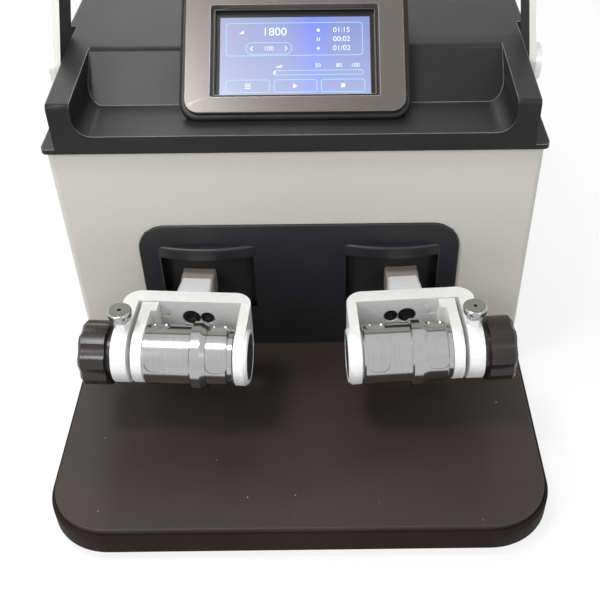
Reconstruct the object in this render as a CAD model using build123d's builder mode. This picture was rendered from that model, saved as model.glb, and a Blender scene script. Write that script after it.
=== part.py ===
from build123d import *
import os
from math import cos, radians, sin, sqrt

# Base, in millimetres: a moulded tray on four feet, with a flat working plate let into its top
base_width = 376.0
base_depth = 467.0
base_front_corner = 48.0
base_rear_corner = 12.0
base_wall = 5.0
tray_height = 17.0
tray_edge = 2.5
foot_height = 9.0
foot_diameter = 30.0
foot_inset = 50.0
foot_screw_diameter = 6.0
boss_wall = 4.0
plate_thickness = 5.0
plate_inset = 3.5
plate_edge = 1.0
deck_depth = 199.0

# Sheet metal housing behind the working plate
housing_side_inset = 2.5
housing_height = 196.0
housing_depth = 262.0
housing_corner = 5.0
sheet = 2.0

# Black insert in the housing's face, with a round cowl for each swinging arm
insert_width = 258.0
insert_height = 127.5
insert_corner = 23.0
insert_proud = 2.0
insert_overlap = 6.0
insert_edge = 1.0
cowl_radius = 141.4
cowl_top = 108.0
cowl_bottom = 30.0
cowl_edge = 2.0
window_half_width = 37.5
window_top = 97.5
window_bottom = 42.0

# Rocker arms: each swings about its own upright shaft, mirror fashion
arm_spacing = 150.0
arm_depth = 134.0
arm_height = 70.0
rest_yaw = 3.5
shaft_diameter = 20.0
bearing_wall = 6.0
bearing_length = 16.0
hub_diameter = 50.0
hub_length = 70.0
hub_bore_clearance = 1.0
neck_width = 27.0
neck_height = 22.0
neck_edge = 2.0
neck_reach = 144.0
tail_reach = 50.0
tail_width = 22.0
tail_height = 16.0
rod_pin_diameter = 10.0
rod_thickness = 10.0
rod_width = 12.0
rod_eye_wall = 5.0
running_fit = 0.05
shield_radius = 131.5
shield_sheet = 2.0
shield_half_angle = 24.0
shield_top = 102.0
shield_bottom = 38.0

# Clamp: a U seen from above, with the jar lying across it
clamp_width = 99.0
clamp_height = 44.0
clamp_back = 173.5
clamp_back_thickness = 12.0
clamp_corner = 13.0
inner_leg = 7.4
outer_leg = 11.7
stem_flare_width = 30.0
stem_flare_height = 25.0
jar_reach = 221.5
pad_thickness = 1.6
pad_diameter = 37.0
end_disc_diameter = 42.0
end_disc_thickness = 2.6
end_disc_rim = 3.0
end_disc_recess = 1.2
jaw_thickness = 8.0
jaw_gap = 3.4
jaw_travel = 3.0
jaw_back_gap = 1.0
lug_thickness = 4.6
lug_depth = 10.0
lug_height = 26.0
tongue_rise = 8.0
tongue_height = 4.0
tongue_depth = 3.0
slot_run = 7.0
slide_clearance = 0.3
spindle_diameter = 16.0
spindle_chamfer = 1.0
knob_collar_diameter = 40.0
knob_collar_length = 4.0
knob_diameter = 50.0
knob_length = 20.0
knob_flutes = 8
knob_flute_radius = 13.0
knob_flute_bite = 2.0
knob_edge = 2.5
pin_diameter = 6.0
pin_depth = 12.0
pin_head_diameter = 18.0
pin_head_thickness = 4.5
pin_neck = 6.0
pin_neck_diameter = 9.0
pin_nut_across = 11.0
pin_nut_height = 6.0
pin_y_offset = 6.0
big_screw_head = 13.0
small_screw_head = 10.0
screw_head_height = 4.0
screw_sink = 0.5
screw_ring = 0.8
screw_socket_share = 0.55
big_screw_x = -2.0
small_screw_x = -14.5
screw_rise = 5.5

# Screw-top grinding jar, lying with its cap to the machine's right
jar_diameter = 46.0
jar_body_length = 35.4
collar_diameter = 52.0
collar_length = 11.8
collar_cone = 4.0
cap_diameter = 45.0
cap_length = 16.1
cap_end_diameter = 41.0
cap_end_length = 3.3
jar_bore = 34.0
jar_bottom = 6.0
jar_thread_diameter = 40.0
jar_edge = 1.2
grip_slot_length = 16.5
grip_slot_width = 11.5
grip_slot_depth = 1.4
grip_slots = 4
grip_slot_tilt = 22.6
grip_slot_margin = 1.0
ball_diameter = 20.0
ball_rest_gap = 0.3

# Moulded top cover: a tray across the front between two shoulders, with a scooped wall behind it
lip_side = 2.5
lip_thickness = 4.0
lip_overhang = 5.0
cover_front_step = 8.5
cover_rear_step = 2.5
cover_wall = 4.0
cover_front_proud = 4.0
shoulder_height = 40.0
roof_height = 45.0
roof_start = 92.0
cover_edge = 4.0
tray_floor = 14.5
shoulder_width = 17.0
tray_depth_back = 42.0
scoop_back = 79.0
tray_fillet = 13.0
crest_fillet = 9.0
floor_bend_shift = 2.0
scoop_top_shift = 5.0
pocket_end = 117.0

# Operating console on the top cover, leaning back towards the user
console_lean = 36.9
bezel_width = 165.0
bezel_length = 105.0
bezel_thickness = 3.0
bezel_corner = 11.0
bezel_edge = 0.8
console_margin = 4.0
console_thickness = 5.0
console_edge = 2.5
console_foot = 16.0
console_front_height = 22.0
console_skirt_inset = 5.0
console_skirt_back = 3.0
console_bite = 2.5
window_width = 127.0
window_length = 75.0
window_from_bottom = 12.5
window_slope = 25.0
window_corner = 2.0
recess_depth = 7.0
screen_width = 113.5
screen_length = 65.0
screen_from_bottom = 15.5
screen_thickness = 3.0

# Swing-up hood on two side arms, leaning back when it is open
hood_pivot_depth = 70.0
hood_pivot_rise = 34.0
hood_lean = 38.0
hood_arm_width = 32.0
hood_arm_thickness = 5.0
hood_arm_length = 170.0
hood_wall = 3.0
hood_face_gap = 8.0
hood_front_reach = 185.0
hood_deck_gap = 2.0
hood_nose_radius = 75.0
hood_side_gap = 0.5
hood_screw_diameter = 10.0
hood_screw_height = 2.2
hood_screw_pitch = 50.0
hood_pin_diameter = 12.0
hood_cap_diameter = 28.0
hood_cap_thickness = 4.5
hood_cap_gap = 0.5
hood_cap_recess = 1.2
hood_cap_rim = 3.0

# Drive inside the housing
frame_plate = 8.0
frame_side_room = 73.5
frame_front = 62.0
frame_back = 216.0
frame_gap = 2.0
frame_rib = 8.0
crank_depth = 172.0
crank_diameter = 16.0
eccentric_diameter = 32.0
eccentric_throw = 2.75
rod_ring_wall = 6.0
rod_ring_clearance = 0.8
motor_diameter = 82.0
motor_height = 58.0
motor_flange = 96.0
motor_flange_thickness = 6.0
motor_ribs = 12
motor_rib_depth = 2.0

# Electrics inside the housing and on its back
supply_size = (58.0, 120.0, 40.0)
supply_gap_to_wall = 6.0
board_size = (90.0, 1.6, 70.0)
board_standoff = 6.0
board_chip = (22.0, 3.0, 22.0)
rear_panel_side = 18.0
rear_panel_drop = 14.0
rear_panel_lift = 14.0
rear_panel_overlap = 8.0
fan_size = 80.0
fan_thickness = 25.0
fan_bore = 74.0
fan_from_edge = 77.5
fan_hub_diameter = 32.0
fan_blades = 7
fan_blade_thickness = 2.0
fan_blade_gap = 1.5
grille_slot_height = 4.0
grille_slot_pitch = 8.0
grille_slots = 9
inlet_width = 28.0
inlet_height = 48.0
inlet_depth = 22.0
inlet_flange = 2.5
inlet_corner = 2.0
inlet_from_edge = 47.5
inlet_mouth = (19.0, 25.0)
inlet_mouth_depth = 15.0
inlet_pins = 3
inlet_pin = (4.0, 2.0)
inlet_pin_pitch = 7.0
inlet_pin_length = 11.5
switch_width = 13.0
switch_height = 19.0
switch_tilt_depth = 4.5
switch_frame = 3.0
switch_case_depth = 16.0
switch_side_gap = 0.5
switch_end_gap = 1.0
switch_keel = 3.0
switch_skin = 3.3
switch_crest = 6.2
switch_dip = 4.4
switch_ease = 0.5
switch_crest_ease = 0.9
switch_z = 118.0
electric_z = 60.0

# Places that follow from the sizes above
front_y = -base_depth / 2
face_y = front_y + deck_depth
housing_width = base_width - 2 * housing_side_inset
lip_width = housing_width + 2 * lip_side
cover_front_width = housing_width - 2 * cover_front_step
cover_rear_width = housing_width - 2 * cover_rear_step
tray_half_width = cover_front_width / 2 - shoulder_width
hood_width = cover_front_width + 2 * hood_side_gap
hood_pivot_height = housing_height + hood_pivot_rise
frame_half_width = housing_width / 2 - frame_side_room
rear_panel_width = housing_width - 2 * rear_panel_side
rear_panel_height = housing_height - rear_panel_lift - rear_panel_drop
fan_x = fan_from_edge - rear_panel_width / 2
inlet_x = rear_panel_width / 2 - inlet_from_edge
plate_bottom = foot_height + tray_height
deck_z = plate_bottom + plate_thickness
housing_top = deck_z + housing_height
housing_back_y = face_y + housing_depth
axis_y = face_y + arm_depth
clamp_front = jar_reach + clamp_height / 2
stroke_angle = 2 * rest_yaw
pocket_back = -clamp_back - clamp_back_thickness
screw_spots = [(big_screw_x, big_screw_head), (small_screw_x, small_screw_head)]

parts_folder = "parts"
os.makedirs(parts_folder, exist_ok=True)


def keep(piece, name):
    """Labels one finished piece and writes it under its own name."""
    piece.part.label = name
    export_step(piece.part, f"{parts_folder}/{name}.step")


def side_name(side):
    """The side's name, seen by someone standing in front of the machine."""
    return "left" if side < 0 else "right"


def base_outline(inset):
    """The base's outline, drawn smaller by the inset: wide corners in front and tight ones behind."""
    Rectangle(base_width - 2 * inset, base_depth - 2 * inset)
    corners = base_sketch_vertices()
    fillet(corners[:2], base_front_corner - inset)
    corners = base_sketch_vertices()
    fillet(corners[-2:], base_rear_corner - inset)


def base_sketch_vertices():
    """The open sketch's corners, front ones first."""
    return BuildSketch._get_context().vertices().sort_by(Axis.Y)


# Base tray: closed top with a lip all round, hollow underneath, with a boss over each foot
foot_pitch = (base_width - 2 * foot_inset, base_depth - 2 * foot_inset)
with BuildPart() as base_tray:
    with BuildSketch(Plane.XY.offset(foot_height)):
        base_outline(0)
    extrude(amount=tray_height)
    fillet(base_tray.faces().sort_by(Axis.Z)[-1].edges(), tray_edge)
    with BuildSketch(Plane.XY.offset(foot_height)):
        base_outline(base_wall)
    extrude(amount=tray_height - base_wall, mode=Mode.SUBTRACT)
    with BuildSketch(Plane.XY.offset(foot_height)):
        with GridLocations(*foot_pitch, 2, 2):
            Circle(foot_diameter / 2 + boss_wall)
    extrude(amount=tray_height - base_wall)
    with BuildSketch(Plane.XY.offset(foot_height)):
        with GridLocations(*foot_pitch, 2, 2):
            Circle(foot_screw_diameter / 2)
    extrude(amount=tray_height - base_wall, mode=Mode.SUBTRACT)
keep(base_tray, "base_tray")

# Rubber feet, each with a moulded stud that sits in its boss
with BuildPart() as rubber_feet:
    with BuildSketch(Plane.XY):
        with GridLocations(*foot_pitch, 2, 2):
            Circle(foot_diameter / 2)
    extrude(amount=foot_height)
    chamfer(rubber_feet.faces().filter_by(Axis.Z).sort_by(Axis.Z)[0:4].edges(), tray_edge)
    with BuildSketch(Plane.XY.offset(foot_height)):
        with GridLocations(*foot_pitch, 2, 2):
            Circle(foot_screw_diameter / 2)
    extrude(amount=tray_height - base_wall)
keep(rubber_feet, "rubber_feet")

# Working plate on top of the tray
with BuildPart() as working_plate:
    with BuildSketch(Plane.XY.offset(plate_bottom)):
        base_outline(plate_inset)
    extrude(amount=plate_thickness)
    fillet(working_plate.faces().sort_by(Axis.Z)[-1].edges(), plate_edge)
keep(working_plate, "working_plate")

# Housing: one wrap of sheet with an aperture in front for the insert and one behind for the rear panel
aperture_width = insert_width - 2 * insert_overlap
aperture_height = insert_height - insert_overlap
with BuildPart() as housing:
    with BuildSketch(Plane.XY.offset(deck_z)):
        with Locations((0, face_y + housing_depth / 2)):
            RectangleRounded(housing_width, housing_depth, housing_corner)
            RectangleRounded(
                housing_width - 2 * sheet,
                housing_depth - 2 * sheet,
                housing_corner - sheet,
                mode=Mode.SUBTRACT,
            )
    extrude(amount=housing_height)
    with BuildSketch(Plane.XZ.offset(-face_y - sheet)):
        with Locations((0, deck_z + aperture_height / 2)):
            Rectangle(aperture_width, aperture_height)
    extrude(amount=2 * sheet, mode=Mode.SUBTRACT)
    with BuildSketch(Plane.XZ.offset(-housing_back_y)):
        with Locations((0, deck_z + rear_panel_lift + rear_panel_height / 2)):
            Rectangle(rear_panel_width, rear_panel_height)
    extrude(amount=2 * sheet, mode=Mode.SUBTRACT)
keep(housing, "housing")

# Front insert: a moulded panel seated on the housing's face, with a cowl round each arm's window
cowl_centres = [-arm_spacing / 2, arm_spacing / 2]
with BuildPart() as front_insert:
    with BuildSketch(Plane.XZ.offset(-face_y)) as insert_outline:
        with Locations((0, deck_z + insert_height / 2)):
            Rectangle(insert_width, insert_height)
        fillet(insert_outline.vertices().sort_by(Axis.Y)[-2:], insert_corner)
    extrude(amount=insert_proud)
    fillet(front_insert.faces().sort_by(Axis.Y)[0].edges().sort_by(Axis.Z)[1:], insert_edge)
    for centre in cowl_centres:
        with BuildSketch(Plane.XY.offset(deck_z + cowl_bottom)):
            with Locations((centre, axis_y)):
                Circle(cowl_radius)
            with Locations((centre, face_y - insert_proud)):
                Rectangle(
                    2 * cowl_radius, cowl_radius, align=(Align.CENTER, Align.MAX), mode=Mode.INTERSECT
                )
        extrude(amount=cowl_top - cowl_bottom)
    crowns = front_insert.faces().filter_by(Axis.Z).filter_by(
        lambda f: abs(f.center().Z - deck_z - cowl_top) < tray_edge
    )
    fillet(crowns.edges().filter_by(GeomType.CIRCLE), cowl_edge)
    with BuildSketch(Plane.XZ.offset(-face_y)):
        for centre in cowl_centres:
            with Locations((centre, deck_z + (window_top + window_bottom) / 2)):
                Rectangle(2 * window_half_width, window_top - window_bottom)
    extrude(amount=cowl_radius - arm_depth, mode=Mode.SUBTRACT)
keep(front_insert, "front_insert")


def arm_frame(side):
    """One arm's own frame: its origin on the arm's shaft at deck level, turned by the yaw it rests at."""
    turn = radians(side * rest_yaw)
    return Plane(
        origin=(side * arm_spacing / 2, axis_y, deck_z),
        x_dir=(cos(turn), sin(turn), 0),
        z_dir=(0, 0, 1),
    )


def across(side, x, y, z):
    """A plane that faces outwards along the jar's axis, placed by x outwards, y back and z up."""
    frame = arm_frame(side)
    return Plane(
        origin=frame.from_local_coords((side * x, y, z)), x_dir=frame.y_dir * side, z_dir=frame.x_dir * side
    )


def along(side, y, z):
    """A plane that faces forwards along the arm, its origin on the arm's middle line."""
    frame = arm_frame(side)
    return Plane(origin=frame.from_local_coords((0, y, z)), x_dir=frame.x_dir, z_dir=-frame.y_dir)


def jar_axis(side):
    """The line that the jar, the jaw's screw and the knob turn about."""
    frame = arm_frame(side)
    return Axis(frame.from_local_coords((0, -jar_reach, arm_height)), frame.x_dir)


def make_bearings(side):
    """The two bushes in the arm's hub, which run on its fixed shaft."""
    with BuildPart() as bearings:
        for bottom in (arm_height - hub_length / 2, arm_height + hub_length / 2 - bearing_length):
            with BuildSketch(arm_frame(side).offset(bottom)):
                Circle(shaft_diameter / 2 + bearing_wall)
                Circle(shaft_diameter / 2 + running_fit, mode=Mode.SUBTRACT)
            extrude(amount=bearing_length)
    keep(bearings, f"pivot_bearings_{side_name(side)}")


def make_rocker_arm(side):
    """The cast arm: a hub on the shaft, a neck through the cowl, and a tail that the drive pushes."""
    frame = arm_frame(side)
    with BuildPart() as arm:
        with BuildSketch(frame.offset(arm_height - hub_length / 2)):
            Circle(hub_diameter / 2)
        extrude(amount=hub_length)
        with BuildSketch(along(side, 0, arm_height)):
            RectangleRounded(neck_width, neck_height, neck_edge)
        extrude(amount=neck_reach)
        with BuildSketch(frame.offset(arm_height - tail_height / 2)):
            with Locations((0, tail_reach / 2)):
                Rectangle(tail_width, tail_reach)
            with Locations((0, tail_reach)):
                Circle(tail_width / 2)
        extrude(amount=tail_height)
        with BuildSketch(frame.offset(arm_height)):
            with Locations((0, tail_reach)):
                Circle(rod_pin_diameter / 2)
        extrude(amount=-side * (tail_height / 2 + rod_thickness + frame_gap))
        with BuildSketch(frame.offset(arm_height - hub_length / 2)):
            Circle(shaft_diameter / 2 + hub_bore_clearance)
        extrude(amount=hub_length, mode=Mode.SUBTRACT)
        for bottom in (arm_height - hub_length / 2, arm_height + hub_length / 2 - bearing_length):
            with BuildSketch(frame.offset(bottom)):
                Circle(shaft_diameter / 2 + bearing_wall)
            extrude(amount=bearing_length, mode=Mode.SUBTRACT)
    keep(arm, f"rocker_arm_{side_name(side)}")


def make_shield(side):
    """The curved sheet on the neck that keeps the cowl's window shut while the arm swings."""
    frame = arm_frame(side)
    sweep = radians(shield_half_angle)
    wide = shield_radius * sin(sweep)
    with BuildPart() as shield:
        with BuildSketch(frame.offset(shield_bottom)):
            Circle(shield_radius)
            Circle(shield_radius - shield_sheet, mode=Mode.SUBTRACT)
            Rectangle(
                2 * wide, 2 * shield_radius, align=(Align.CENTER, Align.MAX), mode=Mode.INTERSECT
            )
        extrude(amount=shield_top - shield_bottom)
        with BuildSketch(along(side, 0, arm_height)):
            RectangleRounded(neck_width, neck_height, neck_edge)
        extrude(amount=neck_reach, mode=Mode.SUBTRACT)
    keep(shield, f"arm_shield_{side_name(side)}")


def make_clamp(side):
    """The clamp body: a flared stem on the arm's neck, a back plate and two legs with round ends."""
    frame = arm_frame(side)
    clamp_bottom = arm_height - clamp_height / 2
    inner_face = -side * (clamp_width / 2 - inner_leg)
    outer_face = side * (clamp_width / 2 - outer_leg)
    pocket_middle = (inner_face + outer_face) / 2
    pocket_width = clamp_width - inner_leg - outer_leg
    leg_length = clamp_front - clamp_back
    with BuildPart() as clamp:
        with BuildSketch(frame.offset(clamp_bottom)) as plan:
            with Locations((0, -clamp_back)):
                Rectangle(clamp_width, leg_length, align=(Align.CENTER, Align.MAX))
            fillet(
                plan.vertices().sort_by(Axis(frame.origin, frame.y_dir))[-2:],
                clamp_corner,
            )
            with Locations((pocket_middle, -clamp_back - clamp_back_thickness)):
                Rectangle(pocket_width, leg_length, align=(Align.CENTER, Align.MAX), mode=Mode.SUBTRACT)
        extrude(amount=clamp_height)
        with BuildSketch(across(side, -clamp_width / 2, -jar_reach, arm_height)):
            Circle(clamp_height / 2)
            with Locations((0, 0)):
                Rectangle(
                    leg_length,
                    clamp_height,
                    align=(Align.MIN if side > 0 else Align.MAX, Align.CENTER),
                )
        extrude(amount=clamp_width, mode=Mode.INTERSECT)
        with BuildSketch(along(side, -neck_reach, arm_height)):
            RectangleRounded(neck_width - neck_edge, neck_height, neck_edge)
        with BuildSketch(along(side, -clamp_back, arm_height)):
            RectangleRounded(stem_flare_width, stem_flare_height, neck_edge)
        loft()
        # Bore for the screw in the outer leg, seat for the fixed jaw in the inner one, slot for the tongue
        with BuildSketch(across(side, 0, -jar_reach, arm_height)):
            Circle(spindle_diameter / 2 + running_fit)
        extrude(amount=clamp_width, mode=Mode.SUBTRACT)
        with BuildSketch(across(side, 0, -jar_reach, arm_height)):
            Circle(spindle_diameter / 2)
        extrude(amount=-clamp_width, mode=Mode.SUBTRACT)
        slot_start = jaw_start() - lug_thickness - slot_run
        slot_end = jaw_start() + jaw_thickness + jaw_travel + slide_clearance
        with BuildSketch(across(side, slot_start, pocket_back, arm_height + tongue_rise)):
            Rectangle(
                tongue_depth + slide_clearance,
                tongue_height + 2 * slide_clearance,
                align=(Align.MIN if side > 0 else Align.MAX, Align.CENTER),
            )
        extrude(amount=slot_end - slot_start, mode=Mode.SUBTRACT)
        for x, head in screw_spots:
            with BuildSketch(along(side, pocket_back, arm_height + screw_rise)):
                with Locations((side * x, 0)):
                    Circle(head / 2 + screw_ring)
            extrude(amount=-screw_head_height - screw_sink, mode=Mode.SUBTRACT)
        # Upright hole for the pull pin
        with BuildSketch(frame.offset(arm_height + clamp_height / 2 - pin_depth)):
            with Locations((side * (clamp_width / 2 - outer_leg / 2), -jar_reach + pin_y_offset)):
                Circle(pin_diameter / 2 + running_fit)
        extrude(amount=pin_depth, mode=Mode.SUBTRACT)
    keep(clamp, f"clamp_{side_name(side)}")


def make_clamp_fittings(side):
    """The fixed jaw, a turned plug through the inner leg, and the screws that hold the clamp to the neck."""
    name = side_name(side)
    inwards = -clamp_width / 2
    line = Axis(jar_axis(side).position, jar_axis(side).direction * side)
    with BuildPart() as fixed_jaw:
        with BuildSketch(across(side, inwards - end_disc_thickness, -jar_reach, arm_height)):
            Circle(end_disc_diameter / 2)
        extrude(amount=end_disc_thickness)
        chamfer(fixed_jaw.faces().sort_by(line)[0].edges(), end_disc_recess)
        with BuildSketch(across(side, inwards - end_disc_thickness, -jar_reach, arm_height)):
            Circle(end_disc_diameter / 2 - end_disc_rim)
        extrude(amount=end_disc_recess, mode=Mode.SUBTRACT)
        with BuildSketch(across(side, inwards, -jar_reach, arm_height)):
            Circle(spindle_diameter / 2)
        extrude(amount=inner_leg)
        with BuildSketch(across(side, inwards + inner_leg, -jar_reach, arm_height)):
            Circle(pad_diameter / 2)
        extrude(amount=pad_thickness)
        chamfer(fixed_jaw.faces().sort_by(line)[-1].edges(), end_disc_recess / 2)
    keep(fixed_jaw, f"fixed_jaw_{name}")
    with BuildPart() as screws:
        for x, head in screw_spots:
            seat = along(side, pocket_back + screw_head_height + screw_sink, arm_height + screw_rise)
            with BuildSketch(seat):
                with Locations((side * x, 0)):
                    Circle(head / 2)
            extrude(amount=screw_head_height)
            with BuildSketch(seat.offset(screw_head_height / 2)):
                with Locations((side * x, 0)):
                    RegularPolygon(head / 2 * screw_socket_share, 6)
            extrude(amount=screw_head_height, mode=Mode.SUBTRACT)
    keep(screws, f"clamp_screws_{name}")


def jaw_start():
    """How far out along the jar's axis the moving jaw's inner face lies."""
    return clamp_width / 2 - outer_leg - jaw_gap - jaw_thickness


def make_jaw(side):
    """The moving jaw: a plate round at the screw, a lug behind, and a tongue in the clamp's slot."""
    reach = jar_reach + pocket_back - jaw_back_gap
    lug_side = jaw_start() - lug_thickness
    jaw_back = -jar_reach + reach
    to_back = Align.MIN if side > 0 else Align.MAX
    to_front = Align.MAX if side > 0 else Align.MIN
    jaw_top = clamp_height / 2 - slide_clearance
    with BuildPart() as jaw:
        with BuildSketch(across(side, jaw_start(), -jar_reach, arm_height)):
            Circle(jaw_top)
            Rectangle(reach, 2 * jaw_top, align=(to_back, Align.CENTER))
        extrude(amount=jaw_thickness)
        with BuildSketch(across(side, lug_side, jaw_back, arm_height + jaw_top)):
            Rectangle(lug_depth, lug_height, align=(to_front, Align.MAX))
        extrude(amount=lug_thickness)
        with BuildSketch(across(side, lug_side, jaw_back, arm_height + tongue_rise)):
            Rectangle(jaw_back_gap + tongue_depth, tongue_height, align=(to_back, Align.CENTER))
        extrude(amount=jaw_thickness + lug_thickness)
    keep(jaw, f"moving_jaw_{side_name(side)}")


def make_knob(side):
    """The clamping knob: a fluted grip with a collar, on the screw that runs through the outer leg."""
    start = clamp_width / 2
    flute_centre = knob_diameter / 2 + knob_flute_radius - knob_flute_bite
    outward = Axis(jar_axis(side).position, jar_axis(side).direction * side)
    with BuildPart() as knob:
        with BuildSketch(across(side, start + knob_collar_length, -jar_reach, arm_height)):
            Circle(knob_diameter / 2)
            with PolarLocations(flute_centre, knob_flutes):
                Circle(knob_flute_radius, mode=Mode.SUBTRACT)
        extrude(amount=knob_length)
        chamfer(knob.faces().sort_by(outward)[-1].edges(), knob_edge)
        with BuildSketch(across(side, start + running_fit, -jar_reach, arm_height)):
            Circle(knob_collar_diameter / 2)
        extrude(amount=knob_collar_length)
    keep(knob, f"clamp_knob_{side_name(side)}")
    with BuildPart() as spindle:
        jaw_end = clamp_width / 2 - outer_leg - jaw_gap
        with BuildSketch(across(side, jaw_end, -jar_reach, arm_height)):
            Circle(spindle_diameter / 2)
        extrude(amount=outer_leg + jaw_gap + running_fit)
        chamfer(spindle.faces().sort_by(outward)[0].edges(), spindle_chamfer)
    keep(spindle, f"clamp_spindle_{side_name(side)}")


def make_pull_pin(side):
    """The locking pin in the outer leg, with a domed pull, and the hexagon guide that it slides in."""
    frame = arm_frame(side)
    name = side_name(side)
    spot = (side * (clamp_width / 2 - outer_leg / 2), -jar_reach + pin_y_offset)
    top = arm_height + clamp_height / 2
    with BuildPart() as guide:
        with BuildSketch(frame.offset(top)):
            with Locations(spot):
                RegularPolygon(pin_nut_across / 2, 6, major_radius=False)
                Circle(pin_diameter / 2 + running_fit, mode=Mode.SUBTRACT)
        extrude(amount=pin_nut_height)
    keep(guide, f"pin_guide_{name}")
    with BuildPart() as pin:
        with BuildSketch(frame.offset(top - pin_depth + running_fit)):
            with Locations(spot):
                Circle(pin_diameter / 2)
        extrude(amount=pin_depth + pin_nut_height + pin_neck / 2)
        with BuildSketch(frame.offset(top + pin_nut_height + running_fit)):
            with Locations(spot):
                Circle(pin_neck_diameter / 2)
        extrude(amount=pin_neck)
        with BuildSketch(frame.offset(top + pin_nut_height + pin_neck)):
            with Locations(spot):
                Circle(pin_head_diameter / 2)
        extrude(amount=pin_head_thickness)
        fillet(pin.faces().sort_by(Axis.Z)[-1].edges(), pin_head_thickness / 3)
        with Locations(pin.faces().sort_by(Axis.Z)[-1]):
            Hole(pin_diameter / 4, depth=pin_head_thickness)
    keep(pin, f"pull_pin_{name}")


jar_length = jar_body_length + collar_length + cap_length + cap_end_length
jar_inner_reach = clamp_width / 2 - inner_leg - pad_thickness


def jar_start(side):
    """Where the jar's closed end lies along its axis, in the arm's frame: the cap always points right."""
    if side > 0:
        return -jar_inner_reach
    return jar_inner_reach - jar_length


def turned_profile(side, points):
    """A closed outline of (distance along the jar's axis, radius) points, drawn flat at the jar's height."""
    with BuildSketch(arm_frame(side).offset(arm_height)) as sketch:
        with BuildLine():
            Polyline(*[(x, -jar_reach + r) for x, r in points], close=True)
        make_face()
    return sketch.sketch


def cut_grip_slots(side, start, radius):
    """Rounded shallow slots round a turned piece, where a wrench holds it."""
    frame = arm_frame(side)
    for index in range(grip_slots):
        angle = radians(grip_slot_tilt + index * 360 / grip_slots)
        outward = frame.y_dir * -cos(angle) + frame.z_dir * sin(angle)
        middle = frame.from_local_coords((start, -jar_reach, arm_height))
        foot = middle + outward * (radius - grip_slot_depth)
        with BuildSketch(Plane(origin=foot, x_dir=frame.x_dir, z_dir=outward)) as slot:
            SlotOverall(grip_slot_length, grip_slot_width)
        extrude(slot.sketch, amount=2 * grip_slot_depth, mode=Mode.SUBTRACT)


def make_jar(side):
    """The grinding jar: body, collar, screw cap and the ball inside."""
    name = side_name(side)
    start = jar_start(side)
    body_end = start + jar_body_length
    collar_end = body_end + collar_length
    cap_end = collar_end + cap_length
    body_r = jar_diameter / 2
    thread_r = jar_thread_diameter / 2
    bore_r = jar_bore / 2
    with BuildPart() as body:
        profile = turned_profile(side, [
            (start, 0), (start, body_r - jar_edge), (start + jar_edge, body_r),
            (body_end, body_r), (body_end, thread_r), (collar_end, thread_r),
            (collar_end, bore_r), (start + jar_bottom, bore_r), (start + jar_bottom, 0),
        ])
        revolve(profile, axis=jar_axis(side))
        cut_grip_slots(side, start + jar_edge + grip_slot_length / 2 + grip_slot_margin, body_r)
    keep(body, f"jar_body_{name}")
    collar_r = collar_diameter / 2
    with BuildPart() as collar:
        profile = turned_profile(side, [
            (body_end, thread_r), (body_end, collar_r - jar_edge), (body_end + jar_edge, collar_r),
            (collar_end - collar_cone, collar_r), (collar_end, cap_diameter / 2 + jar_edge),
            (collar_end, thread_r),
        ])
        revolve(profile, axis=jar_axis(side))
    keep(collar, f"jar_collar_{name}")
    cap_r = cap_diameter / 2
    end_r = cap_end_diameter / 2
    with BuildPart() as cap:
        profile = turned_profile(side, [
            (collar_end, 0), (collar_end, cap_r), (cap_end - jar_edge, cap_r), (cap_end, cap_r - jar_edge),
            (cap_end, end_r), (cap_end + cap_end_length, end_r),
            (cap_end + cap_end_length, end_r - end_disc_rim),
            (cap_end, end_r - end_disc_rim), (cap_end, 0),
        ])
        revolve(profile, axis=jar_axis(side))
        cut_grip_slots(side, collar_end + cap_length / 2, cap_r)
    keep(cap, f"jar_cap_{name}")
    ball_x = start + jar_bottom + ball_diameter
    ball_z = arm_height - bore_r + ball_diameter / 2 + ball_rest_gap
    with BuildPart() as ball:
        with Locations(arm_frame(side).from_local_coords((ball_x, -jar_reach, ball_z))):
            Sphere(ball_diameter / 2)
    keep(ball, f"grinding_ball_{name}")


def make_rod(side):
    """The link from the arm's tail to the crank, opened where it would ride on the eccentric."""
    frame = arm_frame(side)
    level = rod_level(side)
    eye = frame.from_local_coords((0, tail_reach, 0))
    crank_y = face_y + crank_depth
    travel = tail_reach * 2 * sin(radians(stroke_angle) / 2)
    ring_bore = eccentric_diameter / 2 + eccentric_throw + travel + rod_ring_clearance
    ring = ring_bore + rod_ring_wall
    length = sqrt(eye.X ** 2 + (crank_y - eye.Y) ** 2)
    rod_plane = Plane(
        origin=(eye.X, eye.Y, deck_z + level), x_dir=(-eye.X, crank_y - eye.Y, 0), z_dir=(0, 0, 1)
    )
    with BuildPart() as rod:
        with BuildSketch(rod_plane):
            Circle(rod_pin_diameter / 2 + rod_eye_wall)
            with Locations((length / 2, 0)):
                Rectangle(length, rod_width)
            with Locations((length, 0)):
                Circle(ring)
                Circle(ring_bore, mode=Mode.SUBTRACT)
            Circle(rod_pin_diameter / 2 + running_fit, mode=Mode.SUBTRACT)
        extrude(amount=rod_thickness)
    keep(rod, f"drive_rod_{side_name(side)}")


def rod_level(side):
    """Height of a rod's lower face over the deck: the left rod runs over its tail, the right one under."""
    clear = slide_clearance
    if side < 0:
        return arm_height + tail_height / 2 + clear
    return arm_height - tail_height / 2 - rod_thickness - clear


for side in (-1, 1):
    make_bearings(side)
    make_rocker_arm(side)
    make_shield(side)
    make_clamp(side)
    make_clamp_fittings(side)
    make_jaw(side)
    make_knob(side)
    make_pull_pin(side)
    make_jar(side)
    make_rod(side)

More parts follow.
